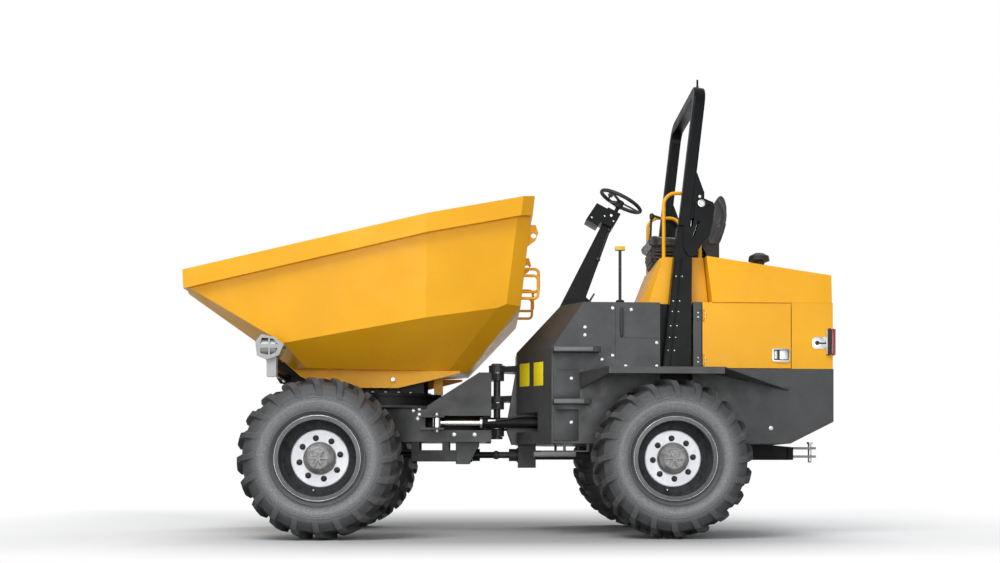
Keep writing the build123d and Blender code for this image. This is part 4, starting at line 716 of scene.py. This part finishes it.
# Rows: front and rear end, low and high edge, how proud of the door, run of the cut corners
latch_table = (("rim", "zinc", "steel", 0.0025, [(1.927, 2.066, 1.334, 1.440, 0.0080, 0.012)]),
               ("well", "plastic", "black_plastic", 0.001, [(1.938, 2.055, 1.347, 1.428, 0.0092, 0.006)]),
               ("paddle", "zinc", "steel", 0.0012, [(1.984, 2.047, 1.352, 1.423, 0.0120, 0.005),
                                                    (1.944, 1.966, 1.356, 1.419, 0.0105, 0.004)]))
for side, word in SIDES:
    plate_on_side(strips, side, 1.3155, 1.3795, 1.2825, 1.7895, BAY_HALF, 0.0012)
    door, out = f"side_door_{word}", sideways(side)
    for part, style, slot, bevel, rows in latch_table:
        latch = Parts(f"latch_{part}_{word}", door, style, slot)
        for row in rows:
            plate_on_side(latch, side, *row[:4], BAY_HALF, *row[4:])
        if part == "paddle":
            keyhole = (1.955, side * (BAY_HALF + 0.009), 1.388)
            latch.stack(keyhole, out, [(0.010, 0), (0.010, 0.003), (0.007, 0.005)])
        latch.done(bevel)
    fixings = Parts(f"door_screws_{word}", door, "zinc", "steel")
    for low in (1.325, 1.670):
        for z in (low + 0.005, low + 0.039):
            fixings.bolt((1.408, side * BAY_HALF, z), out, 0.010)
            screws.bolt((1.353, side * (BAY_HALF + 0.0012), z), out, 0.010)
    fixings.done(0.0004)
    plate_on_side(brackets, side, 2.240, 2.356, 1.434, 1.530, BAY_HALF, 0.003, 0.022)
    plug = (2.278, side * (BAY_HALF + 0.002), 1.482)
    housings.stack(plug, out, [(0.017, 0), (0.017, 0.008), (0.012, 0.012)], sides=24)
    cable = ((2.278, 0.009, 1.482), (2.315, 0.009, 1.478), (2.360, 0.014, 1.482))
    housings.tube([(x, side * (BAY_HALF + proud), z) for x, proud, z in cable], 0.006)
    plate_on_side(housings, side, 2.352, 2.384, 1.388, 1.592, BAY_HALF, 0.034, 0.010)
    plate_on_side(brackets, side, 2.346, 2.353, 1.392, 1.588, BAY_HALF, 0.030, 0.003)
    plate_on_side(lenses, side, 2.384, 2.412, 1.390, 1.590, BAY_HALF, 0.033, 0.010)
    low, high = sorted((side * 0.556, side * 0.624))
    housings.box((2.4015, low, 1.386), (2.4150, high, 1.597))
    for z in (1.190, 0.900):
        screws.bolt((2.408, side * 0.560, z), ASTERN, 0.020)
    screws.bolt((1.919, side * BAY_HALF, 0.825), out, 0.024)
    seam(seams, side, [(1.905, 1.134), (2.075, 1.134)], BAY_HALF)
strips.done()
brackets.done(0.001)
housings.done(0.002)
lenses.done(0.004)

# Roll bar: pivot bolts, flat pin ends on the hoop's cheeks, rivets and ribs down the posts
ribs = Parts("post_ribs", "rear_frame", "dark", "dark_grey")
for side, word in SIDES:
    out = sideways(side)
    screws.bolt((1.380, side * 0.634, 2.549), out, 0.040)
    for z in (1.42, 1.52, 1.61, 1.72, 1.80, 1.99):
        front = POST_FRONT_X + (z - POST_FOOT_Z) * POST_LEAN
        for run in (0.028, 0.076):
            rivet = (front + run, side * (POST_HALF + 0.001), z)
            screws.stack(rivet, out, [(0.0055, 0), (0.0055, 0.0025), (0.003, 0.004)], sides=12)
    pins = Parts(f"hoop_pins_{word}", "rops_hoop", "zinc", "steel")
    pins.stack((1.372, side * 0.608, 2.608), out, [(0.011, 0), (0.011, 0.0015), (0.008, 0.002)])
    pins.done()
    low, high = 1.252, 2.132
    lean = POST_LEAN * (high - low)
    for x_low, x_high in ((1.081, 1.089), (1.131, 1.139)):
        outline = [(x_low, low), (x_high, low), (x_high + lean, high), (x_low + lean, high)]
        ribs.prism(outline, *sorted((side * POST_HALF, side * (POST_HALF + 0.008))))
ribs.done(0.0015)

# Front frame: joint between the shafts, bolts, steering pin ends and ram glands; washers of the articulation
joint = Parts("shaft_joint", "front_frame", "cast", "cast_grey")
ball = [(0.012, 0), (0.027, 0.010), (0.034, 0.024), (0.036, 0.034), (0.034, 0.044), (0.027, 0.058), (0.012, 0.068)]
joint.stack((-0.222, 0, SHAFT_Z), ASTERN, ball, sides=24)
joint.done()
front_screws = Parts("front_screws", "front_frame", "zinc", "steel")
frame_bolts = ((-0.842, 0.969), (-0.795, 0.981), (-0.795, 0.938), (-0.807, 0.906), (-1.70, 0.95),
               (-1.70, 0.80), (-1.30, 0.95), (-0.52, 0.780), (-0.36, 0.780))
for side, word in SIDES:
    for x, z in frame_bolts:
        front_screws.bolt((x, side * FRONT_FRAME_HALF, z), (0, side, 0), 0.022)
    for way, run, short in ((UP, 0.054, 0.0), (DOWN, -0.054, 0.002)):
        pin_end = [(0.024, 0), (0.024, 0.010), (0.018, 0.012), (0.018, 0.022 - short), (0.013, 0.026 - short)]
        front_screws.stack((STEER_PIN_X, side * STEER_RAM_Y, STEER_RAM_Z + run), way, pin_end, sides=24)
    gland = Parts(f"steer_gland_{word}", f"steer_barrel_{word}", "steel", "steel")
    lip = [(0.034, 0), (0.044, 0.003), (0.044, 0.020), (0.041, 0.022)]
    gland.stack((-0.320, side * STEER_RAM_Y, STEER_RAM_Z), ASTERN, lip, sides=32)
    gland.done()
for c, n in circle(4, math.radians(45)):
    front_screws.bolt((-0.381, 0.0535 * c, SHAFT_Z + 0.0535 * n), ASTERN, 0.010)
front_screws.done(0.0006)
washers = Parts("pin_washers", "rear_frame", "steel", "steel")
for low in (1.0455, 1.2855, 0.8355):
    washers.stack((ARTICULATION_X, 0, low), UP, [(0.061, 0), (0.061, 0.0035)], sides=36)
washers.torus((ARTICULATION_X, 0, 1.3485), UP, 0.050, 0.003)
washers.done()
seams.done()
screws.done(0.0005)

# Tow jaw and its pin in bright metal over the solids
jaw = Parts("jaw_faces", "rear_frame", "silver", "steel")
for low, high in ((0.6035, 0.6225), (0.6715, 0.6905)):
    jaw.box((2.243, -0.0606, low), (2.4346, 0.0606, high))
jaw.done(0.001)
pin = Parts("tow_pin", "rear_frame", "zinc", "steel")
shank = [(0.010, 0), (0.0155, 0.006), (0.0155, 0.1505), (0.0245, 0.1508), (0.0245, 0.1655), (0.021, 0.1670)]
pin.stack((HITCH_PIN_X, 0, 0.5662), UP, shank, sides=32)
pin.torus((HITCH_PIN_X, 0, 0.5765), (0, 1, 0), 0.0125, 0.0018, sides=24, round_sides=6)
pin.done()

# Turret and skip: bolts, pin keepers, bolts round the swivel plate, pin ends, ram glands
turret_screws = Parts("turret_screws", "turret", "zinc", "steel")
for side, _ in SIDES:
    for x, z in ((-1.828, 1.196), (-1.872, 1.262), (-1.05, 1.18), (-0.86, 1.22)):
        turret_screws.bolt((x, side * 0.367, z), (0, side, 0), 0.024)
    keeper = (-1.935, side * 0.386, 1.365)
    turret_screws.stack(keeper, (0, side, 0), [(0.025, 0), (0.025, 0.004), (0.020, 0.006)], sides=28)
for c, n in circle(28, math.pi / 28):
    turret_screws.bolt((SLEW_X + 0.445 * c, 0.445 * n, 1.098), UP, 0.024)
turret_screws.done(0.0006)
skip_pins = Parts("skip_pin_ends", "skip", "steel", "steel")
for side, _ in SIDES:
    pin_at = (-0.986, side * 0.463, 1.200)
    skip_pins.stack(pin_at, (0, side, 0), [(0.018, 0), (0.018, 0.004), (0.015, 0.006)], sides=28)
skip_pins.done()
glands = Parts("tip_glands", "tip_barrels", "steel", "steel")
ram_run = Vector((0.654, 0, 0.040)).normalized()
for side, _ in SIDES:
    mouth = Vector((-1.640, side * TIP_RAM_Y, 1.160)) + ram_run * 0.484
    lip = [(0.046, 0), (0.050, 0.003), (0.050, 0.019), (0.044, 0.022), (0.034, 0.022)]
    glands.stack(mouth, ram_run, lip, sides=32)
glands.done()

# Work lamps: lens and bezel in each guard, clamp bolt on its arm
LAMP_FACE, LAMP_Y, LAMP_Z = -1.892, 1.010, 1.388
for side, word in SIDES:
    middle = Vector((LAMP_FACE, side * LAMP_Y, LAMP_Z))
    glass = Parts(f"lamp_glass_{word}", "turret", "clear", "chrome")
    dome = [(0.049, 0), (0.049, 0.003), (0.042, 0.008), (0.022, 0.011), (0.004, 0.012)]
    glass.stack(middle, AHEAD, dome, sides=36)
    glass.done()
    bezel = Parts(f"lamp_bezel_{word}", "turret", "plastic", "black_plastic")
    bezel.torus(middle + Vector((-0.003, 0, 0)), ASTERN, 0.0505, 0.0040, sides=40)
    bezel.bolt((-1.708, side * 1.067, 1.377), (0, side, 0), 0.016)
    bezel.done()

# Steering rams: pressure hose along each barrel, with its banjo bolt
HOSE_RUN = [(-0.236, 0.374, 0.888), (-0.190, 0.376, 0.890), (-0.130, 0.372, 0.897), (-0.070, 0.360, 0.908),
            (-0.010, 0.348, 0.919), (0.060, 0.338, 0.926), (0.120, 0.334, 0.924), (0.170, 0.332, 0.912),
            (0.196, 0.331, 0.896)]
for side, word in SIDES:
    hose = Parts(f"ram_hose_{word}", f"steer_barrel_{word}", "hose", "black_plastic")
    banjo = Parts(f"ram_banjo_{word}", f"steer_barrel_{word}", "zinc", "steel")
    hose.tube(smooth_path([(x, side * y, z) for x, y, z in HOSE_RUN]), 0.0085, sides=12)
    head = [(0.012, 0), (0.012, 0.014), (0.009, 0.018), (0.009, 0.022)]
    banjo.stack((-0.247, side * 0.362, 0.888), (0, side, 0), head)
    banjo.tube([(-0.247, side * 0.374, 0.888), (-0.196, side * 0.376, 0.890)], 0.0098, sides=14)
    hose.done(smooth=60)
    banjo.done(0.0006)

# Rear cover of the seat's suspension
cover = Parts("seat_cover", "rear_frame", "plastic", "black_plastic")
outline = [(1.606, 2.152), (1.606, 2.350), (1.596, 2.384), (1.560, 2.400), (1.450, 2.400), (1.450, 2.152)]
cover.prism(outline, -0.200, 0.200)
cover.done(0.010, segments=3)

# Front frame: a dark sheet between its side plates, behind the steering rods, painted shade in the gap there
gap_shade = Parts("frame_gap_shade", "front_frame", "dark", "dark_grey")
gap_shade.box((-1.150, -0.006, 0.720), (-0.300, 0.006, 1.000))
gap_shade.done(0.001)

# Console, lever, rod handle and steering wheel
console = Parts("console_fittings", "rear_frame", "zinc", "steel")
gauges = Parts("console_gauges", "rear_frame", "plastic", "black_plastic")
console.stack((0.741, -0.099, 2.561), (0, -1, 0), [(0.013, 0), (0.013, 0.006), (0.010, 0.009)], sides=24)
for x, z in ((0.689, 2.556), (0.761, 2.516), (0.584, 2.544)):
    console.bolt((x, -0.0995, z), (0, -1, 0), 0.010)
top_run = Vector((0.100, 0, -0.053)).normalized()
top_out = Vector((0.053, 0, 0.100)).normalized()
for y in (-0.055, 0.0, 0.055):
    spot = Vector((0.719, 0, 2.628)) + top_run * 0.055 + Vector((0, y, 0)) - top_out * 0.001
    gauges.stack(spot, top_out, [(0.024, 0), (0.024, 0.007), (0.020, 0.009), (0.018, 0.005)], sides=28)
    console.stack(spot, top_out, [(0.017, 0), (0.017, 0.0062)], sides=24)
rod = [(0.637, -0.082, 2.215), (0.660, -0.100, 2.276), (0.717, -0.104, 2.426)]
gauges.tube(rod, 0.006)
gauges.stack(Vector(rod[2]), (0.34, 0, 0.94), [(0.006, 0), (0.014, 0.010), (0.015, 0.022), (0.008, 0.032)], sides=16)
gauges.box((0.622, -0.104, 2.196), (0.652, -0.060, 2.222))
gauges.done(0.0006)
console.done(0.0004)
lever = Parts("lever_cap", "rear_frame", "cap", "yellow")
outline = [(0.823, 2.233), (0.823, 2.256), (0.816, 2.2636), (0.752, 2.2636), (0.745, 2.256), (0.745, 2.233)]
lever.prism(outline, -0.366, -0.334)
lever.done(0.003)
boot = Parts("lever_boot", "rear_frame", "hose", "black_plastic")
for radius, low in ((0.050, 0.008), (0.039, 0.024), (0.028, 0.040)):
    boot.torus((0.784, -0.350, DECK_Z + low), UP, radius, 0.0065, sides=36)
boot.done()
far_lever = Parts("seat_lever", "rear_frame", "plastic", "black_plastic")
rod = [(1.104, 0.195, 2.200), (1.104, 0.212, 2.320), (1.106, 0.214, 2.480), (1.116, 0.214, 2.620),
       (1.150, 0.214, 2.625), (1.192, 0.214, 2.610)]
far_lever.tube(smooth_path(rod), 0.010)
knob = [(0.012, 0), (0.020, 0.010), (0.020, 0.040), (0.012, 0.050)]
far_lever.stack((1.116, 0.214, 2.600), UP, knob, sides=16)
far_lever.done()

lean = math.radians(27)
axis = Vector((math.sin(lean), 0, math.cos(lean)))
middle = Vector((0.832, 0, 2.699))
rim = Parts("wheel_cap", "steering_wheel", "plastic", "black_plastic")
rim.stack(middle - axis * 0.008, axis, [(0.033, 0), (0.033, 0.004), (0.029, 0.010), (0.014, 0.013)], sides=32)
across = Vector((0, 1, 0))
other = axis.cross(across)
for c, n in circle(48):
    spot = middle + (across * c + other * n) * 0.176
    rim.torus(spot, other * c - across * n, 0.0142, 0.0014, sides=14, round_sides=5)
rim.done()

# Air cleaner: clamp and ribs of the cap
cleaner = Parts("cleaner_ribs", "rear_frame", "plastic", "black_plastic")
clamp = Parts("cleaner_clamp", "rear_frame", "zinc", "steel")
middle = Vector((1.950, -0.100, 0))
clamp.torus(middle + Vector((0, 0, 2.150)), UP, 0.0455, 0.0028, sides=40)
clamp.done()
for c, n in circle(16):
    rib = [middle + Vector((c * radius, n * radius, z))
           for radius, z in ((0.028, 2.2675), (0.078, 2.2425), (0.0845, 2.210))]
    cleaner.tube(rib, 0.0028, sides=6)
cleaner.done()


# Seat pads: remeshed shells blown up as cloth, then sewn channels pressed in
PAD_CELL = 0.0085


def pad_shell(name, outline, half, round_by):
    """Closed shell from a side-view outline, with rounded rims, remeshed in even cells."""
    kit = bmesh.new()
    rows = [half * share for share in (-1, -0.5, 0, 0.5, 1)]
    grid = [[kit.verts.new((x, y, z)) for x, z in outline] for y in rows]
    count = len(outline)
    for low, high in zip(grid, grid[1:]):
        for k in range(count):
            kit.faces.new([low[k], low[(k + 1) % count], high[(k + 1) % count], high[k]])
    kit.faces.new(grid[0])
    kit.faces.new(grid[-1])
    bmesh.ops.recalc_face_normals(kit, faces=kit.faces)
    data = bpy.data.meshes.new(name)
    kit.to_mesh(data)
    kit.free()
    piece = put(name, data)
    round_edges(piece, round_by, 3, 25)
    remesh = piece.modifiers.new("cells", "REMESH")
    remesh.mode, remesh.voxel_size = "VOXEL", PAD_CELL
    soften = piece.modifiers.new("soften", "SMOOTH")
    soften.factor, soften.iterations = 0.5, 6
    apply_modifiers(piece)
    return piece


PAD_CLOTH = dict(quality=5, mass=0.3, tension_stiffness=12, compression_stiffness=12, bending_stiffness=0.5,
                 use_pressure=True, uniform_pressure_force=4.0)
CLOTH_FRAMES = 20
PAD_CAP = 0.014


def inflate(piece):
    """Swell the shell with the cloth solver; no point moves further than the cap."""
    start = [v.co.copy() for v in piece.data.vertices]
    cloth = piece.modifiers.new("cloth", "CLOTH")
    for setting, value in PAD_CLOTH.items():
        setattr(cloth.settings, setting, value)
    cloth.settings.effector_weights.gravity = 0
    cloth.collision_settings.use_collision = False
    cloth.point_cache.frame_start, cloth.point_cache.frame_end = 1, CLOTH_FRAMES
    for frame_number in range(1, CLOTH_FRAMES + 1):
        scene.frame_set(frame_number)
    graph = bpy.context.evaluated_depsgraph_get()
    blown = bpy.data.meshes.new_from_object(piece.evaluated_get(graph))
    ends = [v.co.copy() for v in blown.vertices]
    piece.modifiers.clear()
    scene.frame_set(1)
    for vertex, old, new in zip(piece.data.vertices, start, ends):
        move = new - old
        if move.length > PAD_CAP:
            move = move.normalized() * PAD_CAP
        vertex.co = old + move


def press(piece, depth_at, low, high):
    """Press channels in along the surface normal and keep the shell inside its box."""
    normals = [v.normal.copy() for v in piece.data.vertices]
    for vertex, normal in zip(piece.data.vertices, normals):
        vertex.co -= normal * depth_at(vertex.co, normal)
        for k in range(3):
            vertex.co[k] = min(max(vertex.co[k], low[k]), high[k])
    fine = piece.modifiers.new("fine", "SUBSURF")
    fine.levels = fine.render_levels = 1
    apply_modifiers(piece)
    shade_smooth(piece.data)


def groove(distance, width, depth):
    """Depth of a rounded channel at a distance from its middle line."""
    return depth * math.exp(-(distance / width) ** 2)


def cushion_depth(point, normal):
    depth = 0.0
    if normal.z > 0.35:
        field = 0.135
        depth += groove(abs(point.y) - field, 0.009, 0.012)
        if abs(point.y) < field:
            for x in (1.100, 1.190, 1.280, 1.370):
                depth += groove(point.x - x, 0.008, 0.009)
            depth += 0.006
    if abs(normal.z) < 0.75:
        depth += groove(point.z - 2.327, 0.006, 0.008)
        depth += 0.002 * math.sin(point.x * 95 + point.y * 40) * max(0.0, 1 - abs(point.z - 2.335) / 0.04)
    return depth


BACK_FOOT_Z, BACK_RISE = 2.292, 0.452
BACK_TAPER_Z, BACK_TAPER_RUN, BACK_TAPER = 2.52, 0.22, 0.22


def back_depth(point, normal):
    depth = 0.0
    along = (point.z - BACK_FOOT_Z) / BACK_RISE
    if normal.x < -0.2:
        half = 0.150 - 0.035 * max(0.0, along - 0.6)
        depth += groove(abs(point.y) - half, 0.010, 0.014)
        if abs(point.y) < half:
            depth += 0.010
            for z in (2.400, 2.465, 2.530, 2.595, 2.660):
                depth += groove(point.z - z, 0.008, 0.010)
    if abs(normal.y) > 0.3:
        lean = point.x - (1.560 + 0.09 * math.sin(math.pi * min(max(along, 0), 1)))
        depth += groove(lean, 0.009, 0.010)
    if normal.x > 0.3:
        depth += groove(abs(point.y) - 0.160, 0.010, 0.006)
    return depth


cushion_outline = [(1.016, 2.318), (1.010, 2.345), (1.026, 2.368), (1.060, 2.374), (1.150, 2.362),
                   (1.260, 2.360), (1.380, 2.366), (1.450, 2.372), (1.478, 2.364), (1.486, 2.335),
                   (1.470, 2.300), (1.250, 2.297), (1.050, 2.298)]
back_outline = [(1.508, 2.310), (1.504, 2.345), (1.514, 2.395), (1.535, 2.490), (1.556, 2.590), (1.580, 2.665),
                (1.600, 2.712), (1.622, 2.732), (1.644, 2.722), (1.656, 2.690), (1.661, 2.640), (1.661, 2.560),
                (1.652, 2.490), (1.636, 2.430), (1.612, 2.360), (1.590, 2.302)]
pads = (("seat_pad", cushion_outline, 0.236, 0.030, cushion_depth, "seat_cushion"),
        ("back_pad", back_outline, 0.226, 0.034, back_depth, "seat_back"))
for name, outline, half, round_by, depth_at, node in pads:
    low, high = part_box(node)
    pad = pad_shell(name, outline, half, round_by)
    if name == "back_pad":
        for vertex in pad.data.vertices:
            along = max(0.0, (vertex.co.z - BACK_TAPER_Z) / BACK_TAPER_RUN)
            vertex.co.y *= 1 - BACK_TAPER * along ** 2
    inflate(pad)
    press(pad, depth_at, low, high)
    pad.data.materials.append(look["vinyl"])
    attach(pad, "rear_frame")
    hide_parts(node)

# Seat suspension bellows: rounded folds round the base
folds = Parts("seat_bellows", "rear_frame", "hose", "black_plastic")
for number, z in enumerate((2.176, 2.204, 2.232, 2.260)):
    grow = 0.004 * math.sin(math.pi * (number + 0.5) / 4)
    x_low, x_high = 1.076 - 0.004 * number, 1.480 + 0.004 * min(number, 2)
    corner = 0.05
    loop = []
    for cx, cy, a0 in ((x_high - corner, 0.200 - corner, 0), (x_low + corner, 0.200 - corner, 90),
                       (x_low + corner, corner - 0.200, 180), (x_high - corner, corner - 0.200, 270)):
        for step in range(5):
            a = math.radians(a0 + 90 * step / 4)
            loop.append(Vector((cx + (corner + grow) * math.cos(a), cy + (corner + grow) * math.sin(a), z)))
    folds.ring_tube(loop, 0.0125)
folds.done(smooth=60)

# Floor, light and background
FLOOR_HALF = 60
ground = bpy.data.meshes.new("floor")
corners = [(x * FLOOR_HALF, y * FLOOR_HALF, 0) for x, y in ((-1, -1), (1, -1), (1, 1), (-1, 1))]
ground.from_pydata(corners, [], [(0, 1, 2, 3)])
floor = put("floor", ground)
s = Shade("floor_with_painted_shadow")
seen = s.node("LightPath")
straight = seen.outputs["Is Camera Ray"]
reach = s.math("ABSOLUTE", s.axis("X"))
# Camera rays see the floor darker (0.48 against 0.88) within 1.2 m ahead of and behind the machine's middle, fading
# out by 2.8 m: a painted shadow under the machine
shadow_under = s.below(reach, 1.2, 2.8)
s.colour(s.mix(straight, (0.30, 0.30, 0.30), s.mix(shadow_under, (0.88, 0.88, 0.88), (0.48, 0.48, 0.48))))
s.set(Roughness=0.9)
bright = s.node("Emission", Color=(1, 1, 1, 1))
behind, ahead = s.span(s.axis("Y"), 1.5, 6.0), s.span(s.times(s.axis("Y"), -1.0), 1.4, 3.0)
away = s.math("MAXIMUM", s.span(reach, 2.2, 5.5), s.math("MAXIMUM", behind, ahead))
plain = s.math("MAXIMUM", straight, seen.outputs["Is Glossy Ray"])
blend = s.node("MixShader")
s.link(s.times(away, plain), blend.inputs[0])
s.link(s.shader.outputs["BSDF"], blend.inputs[1])
s.link(bright.outputs["Emission"], blend.inputs[2])
s.link(blend.outputs["Shader"], s.out.inputs["Surface"])
floor.data.materials.append(s.material)

# The world lights the object softly and shows plain white behind it
world = bpy.data.worlds.new("studio")
scene.world = world
world.use_nodes = True
tree = world.node_tree
tree.nodes.clear()
out, path, either, mix = [tree.nodes.new(f"ShaderNode{kind}") for kind in
                          ("OutputWorld", "LightPath", "Math", "MixShader")]
fill, white = [tree.nodes.new("ShaderNodeBackground") for _ in range(2)]
for sky, colour, strength in ((fill, (0.93, 0.96, 1.0, 1), 0.50), (white, (1, 1, 1, 1), 1.0)):
    sky.inputs["Color"].default_value = colour
    sky.inputs["Strength"].default_value = strength
either.operation = "MAXIMUM"
for source, target in ((path.outputs["Is Camera Ray"], either.inputs[0]),
                       (path.outputs["Is Transmission Ray"], either.inputs[1]),
                       (either.outputs[0], mix.inputs[0]), (fill.outputs[0], mix.inputs[1]),
                       (white.outputs[0], mix.inputs[2]), (mix.outputs[0], out.inputs["Surface"])):
    tree.links.new(source, target)


def lamp(name, at, target, size, power):
    data = bpy.data.lights.new(name, "AREA")
    data.shape = "RECTANGLE"
    data.size, data.size_y = size
    data.energy = power
    item = put(name, data)
    item.location = at
    item.rotation_euler = (Vector(target) - Vector(at)).to_track_quat("-Z", "Y").to_euler()


lamp("key", (-3.0, -5.5, 7.5), (0, 0, 1.2), (5, 4), 445)
lamp("front_fill", (1.5, -9.0, 3.0), (0, 0, 1.2), (7, 4), 172)
lamp("low_fill", (-1.0, -7.5, 0.75), (-0.6, -1.0, 1.3), (7, 1.1), 75)
lamp("rim_light", (4.5, 5.0, 6.0), (0, 0, 1.5), (4, 4), 220)
